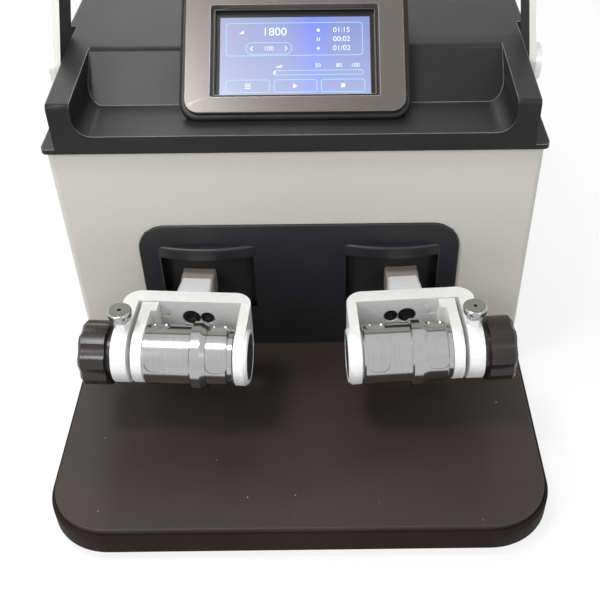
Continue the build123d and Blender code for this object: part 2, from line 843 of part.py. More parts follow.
# Drive frame: a rib-backed C of plate that carries both pivot shafts, the crank and the motor
frame_low = arm_height - hub_length / 2 - frame_gap - frame_plate
frame_high = arm_height + hub_length / 2 + frame_gap
crank_spot = (0, face_y + crank_depth)
shaft_spots = [(-arm_spacing / 2, axis_y), (arm_spacing / 2, axis_y)]
with BuildPart() as drive_frame:
    with BuildSketch(Plane.YZ.offset(-frame_half_width)):
        with BuildLine():
            Polyline(
                (face_y + frame_front, deck_z + frame_low),
                (face_y + frame_back, deck_z + frame_low),
                (face_y + frame_back, deck_z + frame_high + frame_plate),
                (face_y + frame_front, deck_z + frame_high + frame_plate),
                (face_y + frame_front, deck_z + frame_high),
                (face_y + frame_back - frame_plate, deck_z + frame_high),
                (face_y + frame_back - frame_plate, deck_z + frame_low + frame_plate),
                (face_y + frame_front, deck_z + frame_low + frame_plate),
                close=True,
            )
        make_face()
    extrude(amount=2 * frame_half_width)
    with BuildSketch(Plane.XY.offset(deck_z)):
        for x in (-frame_half_width + frame_rib / 2, frame_half_width - frame_rib / 2):
            with Locations((x, face_y + (frame_front + frame_back) / 2)):
                Rectangle(frame_rib, frame_back - frame_front)
    extrude(amount=frame_low)
    with BuildSketch(Plane.XY.offset(deck_z + frame_low)):
        with Locations(*shaft_spots):
            Circle(shaft_diameter / 2)
        with Locations(crank_spot):
            Circle(crank_diameter / 2 + running_fit)
    extrude(amount=frame_high + frame_plate - frame_low, mode=Mode.SUBTRACT)
keep(drive_frame, "drive_frame")
with BuildPart() as pivot_shafts:
    with BuildSketch(Plane.XY.offset(deck_z + frame_low)):
        with Locations(*shaft_spots):
            Circle(shaft_diameter / 2)
    extrude(amount=frame_high + frame_plate - frame_low)
keep(pivot_shafts, "pivot_shafts")

# Crank: one shaft with an eccentric for each rod, set opposite ways, so the arms swing against each other
motor_z = deck_z + frame_high + frame_plate
with BuildPart() as crank:
    with BuildSketch(Plane.XY.offset(deck_z + frame_low)):
        with Locations(crank_spot):
            Circle(crank_diameter / 2)
    extrude(amount=frame_high + frame_plate - frame_low)
    for side in (-1, 1):
        with BuildSketch(Plane.XY.offset(deck_z + rod_level(side))):
            with Locations((-side * eccentric_throw, crank_spot[1])):
                Circle(eccentric_diameter / 2)
        extrude(amount=rod_thickness)
keep(crank, "eccentric_crank")

# Motor on top of the drive frame, with cooling ribs round its case
with BuildPart() as motor:
    with BuildSketch(Plane.XY.offset(motor_z)):
        with Locations(crank_spot):
            RectangleRounded(motor_flange, motor_flange / 2, housing_corner)
            Circle(motor_diameter / 2)
    extrude(amount=motor_flange_thickness)
    with BuildSketch(Plane.XY.offset(motor_z)):
        with Locations(crank_spot):
            Circle(motor_diameter / 2 - motor_rib_depth)
            with PolarLocations(motor_diameter / 2 - motor_rib_depth, motor_ribs):
                Circle(motor_rib_depth)
    extrude(amount=motor_height)
keep(motor, "drive_motor")

# Power supply beside the drive, and the control board behind the face's upper part
supply_w, supply_d, supply_h = supply_size
with BuildPart() as power_supply:
    with BuildSketch(Plane.XY.offset(deck_z)):
        with Locations((housing_width / 2 - sheet - supply_gap_to_wall - supply_w / 2, axis_y)):
            RectangleRounded(supply_w, supply_d, sheet)
    extrude(amount=supply_h)
    chamfer(power_supply.faces().sort_by(Axis.Z)[-1].edges(), sheet / 2)
keep(power_supply, "power_supply")
board_w, board_t, board_h = board_size
chip_w, chip_t, chip_h = board_chip
board_z = housing_top - board_h / 2 - frame_plate
board_front = face_y + sheet + board_standoff
with BuildPart() as control_board:
    with BuildSketch(Plane.XZ.offset(-board_front)):
        with Locations((0, board_z)):
            Rectangle(board_w, board_h)
    extrude(amount=-board_t)
    with BuildSketch(Plane.XZ.offset(-board_front - board_t)):
        with Locations((0, board_z)):
            with GridLocations(board_w / 3, 0, 2, 1):
                Rectangle(chip_w, chip_h)
    extrude(amount=-chip_t)
    with BuildSketch(Plane.XZ.offset(-board_front)):
        with Locations((0, board_z)):
            with GridLocations(board_w - frame_plate, board_h - frame_plate, 2, 2):
                Circle(board_standoff / 2)
    extrude(amount=board_standoff)
keep(control_board, "control_board")

# Rear panel with a slotted grille over the fan, seated in the housing's rear aperture
panel_mid = deck_z + rear_panel_lift + rear_panel_height / 2
with BuildPart() as rear_panel:
    with BuildSketch(Plane.XZ.offset(-housing_back_y + sheet)):
        with Locations((0, panel_mid)):
            Rectangle(rear_panel_width, rear_panel_height)
    extrude(amount=-sheet)
    with BuildSketch(Plane.XZ.offset(-housing_back_y + 2 * sheet)):
        with Locations((0, panel_mid)):
            Rectangle(rear_panel_width + 2 * rear_panel_overlap, rear_panel_height + 2 * rear_panel_overlap)
    extrude(amount=-sheet)
    with BuildSketch(Plane.XZ.offset(-housing_back_y)):
        with Locations((fan_x, panel_mid)):
            with GridLocations(0, grille_slot_pitch, 1, grille_slots):
                SlotOverall(fan_bore, grille_slot_height)
        with Locations((inlet_x, deck_z + electric_z)):
            Rectangle(inlet_width, inlet_height)
        with Locations((inlet_x, deck_z + switch_z)):
            Rectangle(switch_width + 2 * switch_frame, switch_height + 2 * switch_frame)
    extrude(amount=2 * sheet, mode=Mode.SUBTRACT)
keep(rear_panel, "rear_panel")

# Fan behind the grille: a square frame, and an impeller on its motor's hub
fan_front = housing_back_y - 2 * sheet
with BuildPart() as fan_frame:
    with BuildSketch(Plane.XZ.offset(-fan_front)):
        with Locations((fan_x, panel_mid)):
            RectangleRounded(fan_size, fan_size, housing_corner)
            Circle(fan_bore / 2, mode=Mode.SUBTRACT)
    extrude(amount=fan_thickness)
    with BuildSketch(Plane.XZ.offset(-fan_front + fan_thickness)):
        with Locations((fan_x, panel_mid)):
            Circle(fan_hub_diameter / 2)
            Rectangle(fan_size, frame_rib / 2)
    extrude(amount=-sheet)
keep(fan_frame, "fan_frame")
with BuildPart() as fan_impeller:
    with BuildSketch(Plane.XZ.offset(-fan_front + sheet)):
        with Locations((fan_x, panel_mid)):
            Circle(fan_hub_diameter / 2)
            with PolarLocations(fan_bore / 4, fan_blades):
                Rectangle(fan_bore / 2 - 2 * fan_blade_gap, fan_blade_thickness)
    extrude(amount=fan_thickness - 2 * sheet - running_fit)
keep(fan_impeller, "fan_impeller")

# Power inlet: a flanged socket with three blades in its mouth
mouth_w, mouth_h = inlet_mouth
with BuildPart() as power_inlet:
    with BuildSketch(Plane.XZ.offset(-housing_back_y)):
        with Locations((inlet_x, deck_z + electric_z)):
            RectangleRounded(inlet_width + 2 * inlet_flange, inlet_height, inlet_corner)
    extrude(amount=-inlet_flange)
    with BuildSketch(Plane.XZ.offset(-housing_back_y)):
        with Locations((inlet_x, deck_z + electric_z)):
            Rectangle(inlet_width, inlet_height - 2 * inlet_flange)
    extrude(amount=inlet_depth)
    with BuildSketch(Plane.XZ.offset(-housing_back_y - inlet_flange)):
        with Locations((inlet_x, deck_z + electric_z)):
            Rectangle(mouth_w, mouth_h)
    extrude(amount=inlet_mouth_depth, mode=Mode.SUBTRACT)
    with BuildSketch(Plane.XZ.offset(-housing_back_y + inlet_mouth_depth - inlet_flange)):
        with Locations((inlet_x, deck_z + electric_z)):
            with GridLocations(0, inlet_pin_pitch, 1, inlet_pins):
                Rectangle(*inlet_pin)
    extrude(amount=-inlet_pin_length)
keep(power_inlet, "power_inlet")

# Mains switch: a case with a rocker that tips in its frame
with BuildPart() as switch_case:
    with BuildSketch(Plane.XZ.offset(-housing_back_y)):
        with Locations((inlet_x, deck_z + switch_z)):
            RectangleRounded(
                switch_width + 4 * switch_frame, switch_height + 4 * switch_frame, inlet_corner
            )
    extrude(amount=-inlet_flange)
    with BuildSketch(Plane.XZ.offset(-housing_back_y)):
        with Locations((inlet_x, deck_z + switch_z)):
            Rectangle(switch_width + 2 * switch_frame, switch_height + 2 * switch_frame)
    extrude(amount=switch_case_depth)
    with BuildSketch(Plane.XZ.offset(-housing_back_y - inlet_flange)):
        with Locations((inlet_x, deck_z + switch_z)):
            Rectangle(switch_width + 2 * switch_side_gap, switch_height + 2 * switch_end_gap)
    extrude(amount=switch_case_depth / 2 + inlet_flange, mode=Mode.SUBTRACT)
keep(switch_case, "switch_case")
switch_axis_y = housing_back_y + inlet_flange - switch_tilt_depth
switch_mid = deck_z + switch_z
with BuildPart() as switch_rocker:
    with BuildSketch(Plane.YZ.offset(inlet_x - switch_width / 2)):
        with BuildLine():
            Polyline(
                (switch_axis_y - switch_keel, switch_mid - switch_keel),
                (switch_axis_y + switch_skin, switch_mid - switch_height / 2 + switch_ease),
                (switch_axis_y + switch_crest, switch_mid - switch_height / 2 + switch_crest_ease),
                (switch_axis_y + switch_dip, switch_mid),
                (switch_axis_y + switch_crest, switch_mid + switch_height / 2 - switch_crest_ease),
                (switch_axis_y + switch_skin, switch_mid + switch_height / 2 - switch_ease),
                (switch_axis_y - switch_keel, switch_mid + switch_keel),
                close=True,
            )
        make_face()
    extrude(amount=switch_width)
keep(switch_rocker, "switch_rocker")

# Top cover: the room for the tray and its scooped back wall is made first, then taken out of the moulding
cover_front = face_y - cover_front_proud
cover_base = housing_top
with BuildPart() as tray_room:
    with BuildSketch(Plane.YZ.offset(-tray_half_width)):
        with BuildLine():
            Polyline(
                (cover_front - lip_overhang, cover_base + tray_floor),
                (face_y + tray_depth_back, cover_base + tray_floor),
                (face_y + scoop_back, cover_base + roof_height),
                (face_y + 2 * scoop_back - tray_depth_back, cover_base + 2 * roof_height - tray_floor),
                (face_y + 2 * scoop_back - tray_depth_back, cover_base + 2 * roof_height),
                (cover_front - lip_overhang, cover_base + 2 * roof_height),
                close=True,
            )
        make_face()
    extrude(amount=2 * tray_half_width)
    with BuildSketch(Plane.XZ) as tray_end:
        with Locations((0, cover_base + tray_floor)):
            Rectangle(2 * tray_half_width, 2 * roof_height, align=(Align.CENTER, Align.MIN))
        fillet(tray_end.vertices().sort_by(Axis.Y)[:2], tray_fillet)
    extrude(amount=base_depth, both=True, mode=Mode.INTERSECT)
with BuildPart() as top_cover:
    with BuildSketch(Plane.YZ.offset(-cover_rear_width / 2)):
        with BuildLine():
            Polyline(
                (cover_front, cover_base),
                (cover_front, cover_base + shoulder_height),
                (face_y + roof_start, cover_base + roof_height),
                (housing_back_y, cover_base + roof_height),
                (housing_back_y, cover_base),
                close=True,
            )
        make_face()
    extrude(amount=cover_rear_width)
    pocket_width = (cover_rear_width - cover_front_width) / 2
    with BuildSketch(Plane.XY.offset(cover_base + lip_thickness)):
        for x in (-cover_rear_width / 2 + pocket_width / 2, cover_rear_width / 2 - pocket_width / 2):
            with Locations((x, cover_front + (pocket_end + cover_wall) / 2)):
                Rectangle(pocket_width, pocket_end + cover_wall)
    extrude(amount=2 * roof_height, mode=Mode.SUBTRACT)
    fillet(top_cover.faces().sort_by(Axis.Y)[0].edges().filter_by(Axis.X).sort_by(Axis.Z)[-1], cover_edge)
    rear_top = top_cover.faces().filter_by(Axis.Z).sort_by(Axis.Z)[-1]
    fillet(rear_top.edges().sort_by(Axis.Y)[-1], cover_edge)
    with BuildSketch(Plane.XY.offset(cover_base)):
        with Locations((0, (cover_front + housing_back_y) / 2)):
            RectangleRounded(lip_width, housing_back_y - cover_front, housing_corner)
    extrude(amount=lip_thickness)
    add(tray_room.part, mode=Mode.SUBTRACT)
    crest = top_cover.edges().filter_by(Axis.X).filter_by(
        lambda e: abs(e.center().Y - face_y - scoop_back) < cover_wall
        and e.center().Z > cover_base + roof_height - sheet
    )
    fillet(crest, crest_fillet)
    # Hollow inside, following the tray's floor and the scoop
    with BuildSketch(Plane.YZ.offset(-cover_front_width / 2 + cover_wall)):
        with BuildLine():
            Polyline(
                (cover_front + cover_wall, cover_base),
                (cover_front + cover_wall, cover_base + tray_floor - cover_wall),
                (face_y + tray_depth_back + floor_bend_shift, cover_base + tray_floor - cover_wall),
                (face_y + scoop_back + scoop_top_shift, cover_base + roof_height - cover_wall),
                (housing_back_y - cover_wall, cover_base + roof_height - cover_wall),
                (housing_back_y - cover_wall, cover_base),
                close=True,
            )
        make_face()
    extrude(amount=cover_front_width - 2 * cover_wall, mode=Mode.SUBTRACT)
    for side in (-1, 1):
        with BuildSketch(Plane.YZ.offset(side * (cover_front_width / 2 - 2 * cover_wall))):
            with Locations((face_y + hood_pivot_depth, deck_z + hood_pivot_height)):
                Circle(hood_pin_diameter / 2)
        extrude(amount=side * 2 * cover_wall, mode=Mode.SUBTRACT)
keep(top_cover, "top_cover")

# Console: a leaning case on the cover, with a bezel over it and the touch screen at the bottom of a recess
lean = radians(console_lean)
console_origin = (0, face_y + console_foot, cover_base + console_front_height)
console_plane = Plane(origin=console_origin, x_dir=(1, 0, 0), z_dir=(0, -sin(lean), cos(lean)))
case_width = bezel_width + 2 * console_margin
case_length = bezel_length + 2 * console_margin
bezel_middle = bezel_length / 2
screen_middle = screen_from_bottom + screen_length / 2
with BuildPart() as console_case:
    with BuildSketch(console_plane.offset(-bezel_thickness)):
        with Locations((0, bezel_middle)):
            RectangleRounded(case_width, case_length, bezel_corner + console_margin)
    extrude(amount=-console_thickness)
    fillet(console_case.faces().sort_by(Axis(console_origin, console_plane.z_dir))[-1].edges(), console_edge)
    skirt = case_width / 2 - console_skirt_inset
    case_middle = -bezel_thickness - console_thickness / 2
    case_low = console_plane.from_local_coords((0, -console_margin, case_middle))
    case_high = console_plane.from_local_coords((0, bezel_length, case_middle))
    with BuildSketch(Plane.YZ.offset(-skirt)):
        with BuildLine():
            Polyline(
                (case_low.Y + console_skirt_back, case_low.Z + console_skirt_back),
                (case_high.Y, case_high.Z),
                (case_high.Y, cover_base + roof_height - console_bite),
                (face_y + scoop_back, cover_base + roof_height - console_bite),
                (face_y + tray_depth_back, cover_base + tray_floor - console_bite),
                (case_low.Y + console_skirt_back, cover_base + tray_floor - console_bite),
                close=True,
            )
        make_face()
    extrude(amount=2 * skirt)
    add(top_cover.part, mode=Mode.SUBTRACT)
    with BuildSketch(console_plane.offset(-bezel_thickness)):
        with Locations((0, screen_middle)):
            Rectangle(screen_width, screen_length)
    extrude(amount=-(recess_depth - bezel_thickness + screen_thickness), mode=Mode.SUBTRACT)
    with BuildSketch(console_plane.offset(-bezel_thickness)):
        with Locations((0, window_from_bottom + window_length / 2)):
            Rectangle(window_width - 2 * bezel_thickness, window_length - 2 * bezel_thickness)
    extrude(amount=-(recess_depth - bezel_thickness), mode=Mode.SUBTRACT)
keep(console_case, "console_case")
with BuildPart() as console_bezel:
    with BuildSketch(console_plane.offset(-bezel_thickness)):
        with Locations((0, bezel_middle)):
            RectangleRounded(bezel_width, bezel_length, bezel_corner)
    extrude(amount=bezel_thickness)
    fillet(console_bezel.faces().sort_by(Axis(console_origin, console_plane.z_dir))[-1].edges(), bezel_edge)
    with BuildSketch(console_plane):
        with Locations((0, window_from_bottom + window_length / 2)):
            RectangleRounded(window_width, window_length, window_corner)
    extrude(amount=-bezel_thickness, taper=window_slope, mode=Mode.SUBTRACT)
keep(console_bezel, "console_bezel")
with BuildPart() as touch_screen:
    with BuildSketch(console_plane.offset(-recess_depth - screen_thickness)):
        with Locations((0, screen_middle)):
            Rectangle(screen_width, screen_length)
    extrude(amount=screen_thickness)
keep(touch_screen, "touch_screen")

# Hood: a clear moulded shell between two arms that turn on pins in the cover's sides
hood_back = radians(hood_lean)
pivot = (face_y + hood_pivot_depth, deck_z + hood_pivot_height)


def hood_plane(x):
    """A plane across the hood at x: its x runs along the arm, its y to the side that hangs when shut."""
    return Plane(origin=(x, *pivot), x_dir=(0, sin(hood_back), cos(hood_back)), z_dir=(1, 0, 0))


hood_near = hood_pivot_depth + hood_face_gap
hood_far = hood_pivot_depth + hood_front_reach
hood_crown = -hood_arm_width / 2
hood_hem = hood_pivot_height - hood_deck_gap


def hood_profile(x, inset):
    """The hood's side view at x, drawn smaller by the inset where the wall is."""
    far = hood_far - inset
    crown = hood_crown + inset
    nose = hood_nose_radius - inset
    near = hood_near - inset
    hem = hood_hem + inset
    bend = nose * (1 - sqrt(0.5))
    with BuildSketch(hood_plane(x)) as profile:
        with BuildLine():
            Line((near, hem), (near, crown))
            Line((near, crown), (far - nose, crown))
            ThreePointArc((far - nose, crown), (far - bend, crown + bend), (far, crown + nose))
            Line((far, crown + nose), (far, hem))
            Line((far, hem), (near, hem))
        make_face()
    return profile.sketch


with BuildPart() as hood_shell:
    extrude(hood_profile(-hood_width / 2, 0), amount=hood_width)
    hollow = hood_profile(-hood_width / 2 + hood_wall, hood_wall)
    extrude(hollow, amount=hood_width - 2 * hood_wall, mode=Mode.SUBTRACT)
keep(hood_shell, "hood_shell")
arm_inner = hood_width / 2
arm_outer = arm_inner + hood_arm_thickness
for side in (-1, 1):
    with BuildPart() as hood_arm:
        with BuildSketch(hood_plane(side * arm_inner)):
            with Locations((hood_arm_length / 2, 0)):
                SlotOverall(hood_arm_length + hood_arm_width, hood_arm_width)
            Circle(hood_pin_diameter / 2 + running_fit, mode=Mode.SUBTRACT)
        extrude(amount=side * hood_arm_thickness)
    keep(hood_arm, f"hood_arm_{side_name(side)}")
with BuildPart() as hood_screws:
    for side in (-1, 1):
        with BuildSketch(hood_plane(side * arm_outer)):
            with Locations((hood_arm_length - hood_screw_pitch, 0), (hood_arm_length, 0)):
                Circle(hood_screw_diameter / 2)
        extrude(amount=side * hood_screw_height)
keep(hood_screws, "hood_screws")
with BuildPart() as hood_pivots:
    for side in (-1, 1):
        cap_start = side * (arm_outer + hood_cap_gap)
        with BuildSketch(hood_plane(side * (cover_front_width / 2 - 2 * cover_wall))):
            Circle(hood_pin_diameter / 2)
        extrude(amount=side * (arm_outer + hood_cap_gap - cover_front_width / 2 + 2 * cover_wall))
        with BuildSketch(hood_plane(cap_start)):
            Circle(hood_cap_diameter / 2)
        extrude(amount=side * hood_cap_thickness)
        with BuildSketch(hood_plane(cap_start + side * hood_cap_thickness)):
            Circle(hood_cap_diameter / 2 - hood_cap_rim)
        extrude(amount=-side * hood_cap_recess, mode=Mode.SUBTRACT)
keep(hood_pivots, "hood_pivots")
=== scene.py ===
from math import cos, pi, radians, sin

import bmesh
import bpy
from mathutils import Matrix, Vector


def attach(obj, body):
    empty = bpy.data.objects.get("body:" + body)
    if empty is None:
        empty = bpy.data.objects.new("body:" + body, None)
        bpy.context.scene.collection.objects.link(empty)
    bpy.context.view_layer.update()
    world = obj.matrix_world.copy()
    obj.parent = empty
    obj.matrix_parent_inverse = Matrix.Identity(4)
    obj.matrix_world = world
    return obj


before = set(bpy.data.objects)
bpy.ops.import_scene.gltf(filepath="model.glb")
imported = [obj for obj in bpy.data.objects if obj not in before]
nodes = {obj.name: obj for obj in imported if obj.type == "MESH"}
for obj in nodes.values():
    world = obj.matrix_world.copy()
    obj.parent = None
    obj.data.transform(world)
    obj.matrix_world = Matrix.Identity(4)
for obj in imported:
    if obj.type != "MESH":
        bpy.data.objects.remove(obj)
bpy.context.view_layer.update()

# Camera: held by someone who stands at the bench and looks down on the mill's front, a little right
# of its middle. It comes first, so that everything after it can be judged in the same picture.
camera_spot = (0.0238, -0.6179, 0.5855)
camera_down = 40.99
camera_turn = -0.13
camera_roll = -0.58
bench_camera = bpy.data.objects.new("bench_camera", bpy.data.cameras.new("bench_camera"))
bench_camera.data.lens = 54.7
bench_camera.data.shift_x = -0.0516
bench_camera.data.sensor_width = 36.0
bench_camera.matrix_world = (
    Matrix.Translation(camera_spot)
    @ Matrix.Rotation(radians(camera_turn), 4, "Z")
    @ Matrix.Rotation(radians(90 - camera_down), 4, "X")
    @ Matrix.Rotation(radians(camera_roll), 4, "Z")
)
bpy.context.scene.collection.objects.link(bench_camera)
bpy.context.scene.camera = bench_camera
bpy.context.scene.view_settings.view_transform = "Standard"


# Studio: a white floor, even light all round, a soft lamp at the front left, weaker ones on the right
# and behind, and one over the tray. The floor keeps the mill's shadow, and metal mirrors the white room.
def link_nodes(tree, source, target):
    tree.links.new(source, target)


def seen_directly(tree):
    """1 where a camera, glossy or transmission ray looks, else 0."""
    path = tree.nodes.new("ShaderNodeLightPath")
    total = path.outputs["Is Camera Ray"]
    for kind in ("Is Glossy Ray", "Is Transmission Ray"):
        either = tree.nodes.new("ShaderNodeMath")
        either.operation = "MAXIMUM"
        link_nodes(tree, total, either.inputs[0])
        link_nodes(tree, path.outputs[kind], either.inputs[1])
        total = either.outputs[0]
    return total


def blend_shaders(tree, share, first, second, output):
    """Shows the first shader where the share is 0 and the second where it is 1."""
    blend = tree.nodes.new("ShaderNodeMixShader")
    for socket, source in zip(blend.inputs, (share, first, second)):
        link_nodes(tree, source, socket)
    link_nodes(tree, blend.outputs[0], tree.nodes[output].inputs["Surface"])


room_light = 0.5
world = bpy.data.worlds.new("studio_room")
world.use_nodes = True
bpy.context.scene.world = world
room = world.node_tree
room_shown = room.nodes["Background"]
room_shown.inputs["Color"].default_value = (1, 1, 1, 1)
room_lit = room.nodes.new("ShaderNodeBackground")
room_lit.inputs["Color"].default_value = (0.97, 0.985, 1, 1)
room_lit.inputs["Strength"].default_value = room_light
blend_shaders(room, seen_directly(room), room_lit.outputs[0], room_shown.outputs[0], "World Output")

floor_half = 4.0
floor_glow_share = 0.82
floor_mesh = bpy.data.meshes.new("studio_floor")
floor_mesh.from_pydata(
    [(-floor_half, -floor_half, 0), (floor_half, -floor_half, 0),
     (floor_half, floor_half, 0), (-floor_half, floor_half, 0)],
    [],
    [(0, 1, 2, 3)],
)
studio_floor = bpy.data.objects.new("studio_floor", floor_mesh)
bpy.context.scene.collection.objects.link(studio_floor)
floor_paint = bpy.data.materials.new("floor_paint")
floor_paint.use_nodes = True
floor_tree = floor_paint.node_tree
floor_shader = floor_tree.nodes["Principled BSDF"]
floor_shader.inputs["Base Color"].default_value = (0.92, 0.92, 0.92, 1)
floor_shader.inputs["Roughness"].default_value = 0.8
floor_shader.inputs["Specular IOR Level"].default_value = 0.1
floor_glow = floor_tree.nodes.new("ShaderNodeEmission")
floor_glow.inputs["Strength"].default_value = 1.0
floor_share = floor_tree.nodes.new("ShaderNodeMath")
floor_share.operation = "MULTIPLY"
floor_share.inputs[1].default_value = floor_glow_share
link_nodes(floor_tree, seen_directly(floor_tree), floor_share.inputs[0])
blend_shaders(
    floor_tree, floor_share.outputs[0], floor_shader.outputs[0], floor_glow.outputs[0], "Material Output"
)
floor_mesh.materials.append(floor_paint)


def soft_lamp(name, spot, aim, size, power):
    """A square soft lamp that faces a point on the mill."""
    lamp = bpy.data.objects.new(name, bpy.data.lights.new(name, "AREA"))
    lamp.data.size = size
    lamp.data.energy = power
    lamp.location = spot
    lamp.rotation_euler = (Vector(aim) - Vector(spot)).to_track_quat("-Z", "Y").to_euler()
    bpy.context.scene.collection.objects.link(lamp)


soft_lamp("lamp_left", (-1.05, -1.15, 1.2), (0, -0.05, 0.15), size=0.5, power=11)
soft_lamp("lamp_right", (0.95, -1.15, 1.1), (0.05, -0.05, 0.15), size=0.35, power=4)
soft_lamp("lamp_over", (-0.42, -0.32, 1.5), (-0.1, 0.0, 0.2), size=0.3, power=11)
soft_lamp("lamp_back", (-0.4, 1.5, 1.5), (0, 0.1, 0.2), size=0.9, power=9)


# Base tray: a black moulding with a closed top, a rounded front and a lip all round, into whose top
# the working plate is set. Injection moulded in a warm black plastic with a fine spark-eroded grain.
def open_group(name, inputs, outputs):
    """A new shader node group with its named sockets, and its input and output nodes."""
    group = bpy.data.node_groups.new(name, "ShaderNodeTree")
    for socket, kind, value in inputs:
        made = group.interface.new_socket(socket, in_out="INPUT", socket_type=kind)
        made.default_value = value
    for socket, kind in outputs:
        group.interface.new_socket(socket, in_out="OUTPUT", socket_type=kind)
    return group, group.nodes.new("NodeGroupInput"), group.nodes.new("NodeGroupOutput")


# Grain: noise in the piece's own coordinates, turned and stretched, with a fine and a broad value
grain_group, grain_in, grain_out = open_group(
    "surface_grain",
    [
        ("Scale", "NodeSocketFloat", 1500.0),
        ("Turn", "NodeSocketVector", (0, 0, 0)),
        ("Stretch", "NodeSocketVector", (1, 1, 1)),
    ],
    [("Fine", "NodeSocketFloat"), ("Broad", "NodeSocketFloat")],
)
grain_place = grain_group.nodes.new("ShaderNodeTexCoord")
grain_turn = grain_group.nodes.new("ShaderNodeMapping")
link_nodes(grain_group, grain_place.outputs["Object"], grain_turn.inputs["Vector"])
link_nodes(grain_group, grain_in.outputs["Turn"], grain_turn.inputs["Rotation"])
grain_stretch = grain_group.nodes.new("ShaderNodeMapping")
link_nodes(grain_group, grain_turn.outputs[0], grain_stretch.inputs["Vector"])
link_nodes(grain_group, grain_in.outputs["Stretch"], grain_stretch.inputs["Scale"])
grain_fine = grain_group.nodes.new("ShaderNodeTexNoise")
grain_fine.inputs["Detail"].default_value = 3.0
link_nodes(grain_group, grain_stretch.outputs[0], grain_fine.inputs["Vector"])
link_nodes(grain_group, grain_in.outputs["Scale"], grain_fine.inputs["Scale"])
grain_broad = grain_group.nodes.new("ShaderNodeTexNoise")
grain_broad.inputs["Scale"].default_value = 14.0
grain_broad.inputs["Detail"].default_value = 2.0
link_nodes(grain_group, grain_place.outputs["Object"], grain_broad.inputs["Vector"])
link_nodes(grain_group, grain_fine.outputs[0], grain_out.inputs["Fine"])
link_nodes(grain_group, grain_broad.outputs[0], grain_out.inputs["Broad"])

# Painted highlight: a thin pale line painted where a moulded edge rounds over and looks up
painted_highlight_group, edge_in, edge_out = open_group(
    "painted_edge_highlight", [("Radius", "NodeSocketFloat", 0.0008)], [("Mask", "NodeSocketFloat")]
)
edge_round = painted_highlight_group.nodes.new("ShaderNodeBevel")
link_nodes(painted_highlight_group, edge_in.outputs["Radius"], edge_round.inputs["Radius"])
edge_plain = painted_highlight_group.nodes.new("ShaderNodeNewGeometry")
edge_apart = painted_highlight_group.nodes.new("ShaderNodeVectorMath")
edge_apart.operation = "DOT_PRODUCT"
link_nodes(painted_highlight_group, edge_round.outputs[0], edge_apart.inputs[0])
link_nodes(painted_highlight_group, edge_plain.outputs["Normal"], edge_apart.inputs[1])
edge_range = painted_highlight_group.nodes.new("ShaderNodeMapRange")
edge_range.inputs["From Min"].default_value = 0.995
edge_range.inputs["From Max"].default_value = 0.93
link_nodes(painted_highlight_group, edge_apart.outputs["Value"], edge_range.inputs["Value"])
edge_axes = painted_highlight_group.nodes.new("ShaderNodeSeparateXYZ")
link_nodes(painted_highlight_group, edge_round.outputs[0], edge_axes.inputs[0])
edge_up = painted_highlight_group.nodes.new("ShaderNodeMath")
edge_up.operation = "MULTIPLY"
edge_up.use_clamp = True
link_nodes(painted_highlight_group, edge_range.outputs[0], edge_up.inputs[0])
link_nodes(painted_highlight_group, edge_axes.outputs["Z"], edge_up.inputs[1])
link_nodes(painted_highlight_group, edge_up.outputs[0], edge_out.inputs["Mask"])

# Dust: a few pale specks, each in its own cell, that lie on surfaces facing up
dust_group, dust_in, dust_out = open_group(
    "dust_specks",
    [("Scale", "NodeSocketFloat", 60.0), ("Size", "NodeSocketFloat", 0.035)],
    [("Mask", "NodeSocketFloat")],
)
dust_place = dust_group.nodes.new("ShaderNodeTexCoord")
dust_cells = dust_group.nodes.new("ShaderNodeTexVoronoi")
link_nodes(dust_group, dust_place.outputs["Object"], dust_cells.inputs["Vector"])
link_nodes(dust_group, dust_in.outputs["Scale"], dust_cells.inputs["Scale"])
dust_near = dust_group.nodes.new("ShaderNodeMath")
dust_near.operation = "LESS_THAN"
link_nodes(dust_group, dust_cells.outputs["Distance"], dust_near.inputs[0])
link_nodes(dust_group, dust_in.outputs["Size"], dust_near.inputs[1])
dust_geometry = dust_group.nodes.new("ShaderNodeNewGeometry")
dust_axes = dust_group.nodes.new("ShaderNodeSeparateXYZ")
link_nodes(dust_group, dust_geometry.outputs["Normal"], dust_axes.inputs[0])
dust_up = dust_group.nodes.new("ShaderNodeMath")
dust_up.operation = "MULTIPLY"
dust_up.use_clamp = True
link_nodes(dust_group, dust_near.outputs[0], dust_up.inputs[0])
link_nodes(dust_group, dust_axes.outputs["Z"], dust_up.inputs[1])
link_nodes(dust_group, dust_up.outputs[0], dust_out.inputs["Mask"])


def start_finish(name):
    """A new material, with its tree and its shader."""
    made = bpy.data.materials.new(name)
    made.use_nodes = True
    return made, made.node_tree, made.node_tree.nodes["Principled BSDF"]


def place_group(tree, group, **values):
    """A group in a material, with this material's own values."""
    placed = tree.nodes.new("ShaderNodeGroup")
    placed.node_tree = group
    for socket, value in values.items():
        placed.inputs[socket].default_value = value
    return placed


def between(tree, share, low, high, low_from=0.3, high_from=0.7):
    """A value that runs from low to high as the share does."""
    spread = tree.nodes.new("ShaderNodeMapRange")
    spread.inputs["From Min"].default_value = low_from
    spread.inputs["From Max"].default_value = high_from
    spread.inputs["To Min"].default_value = low
    spread.inputs["To Max"].default_value = high
    link_nodes(tree, share, spread.inputs["Value"])
    return spread.outputs[0]


def mixed_colour(tree, share, first, second):
    """A colour between two, each given as three numbers or taken from a socket."""
    blend = tree.nodes.new("ShaderNodeMix")
    blend.data_type = "RGBA"
    link_nodes(tree, share, blend.inputs["Factor"])
    for slot, colour in (("A", first), ("B", second)):
        socket = next(s for s in blend.inputs if s.name == slot and s.type == "RGBA")
        if isinstance(colour, bpy.types.NodeSocket):
            link_nodes(tree, colour, socket)
        else:
            socket.default_value = (*colour, 1)
    return next(s for s in blend.outputs if s.type == "RGBA")


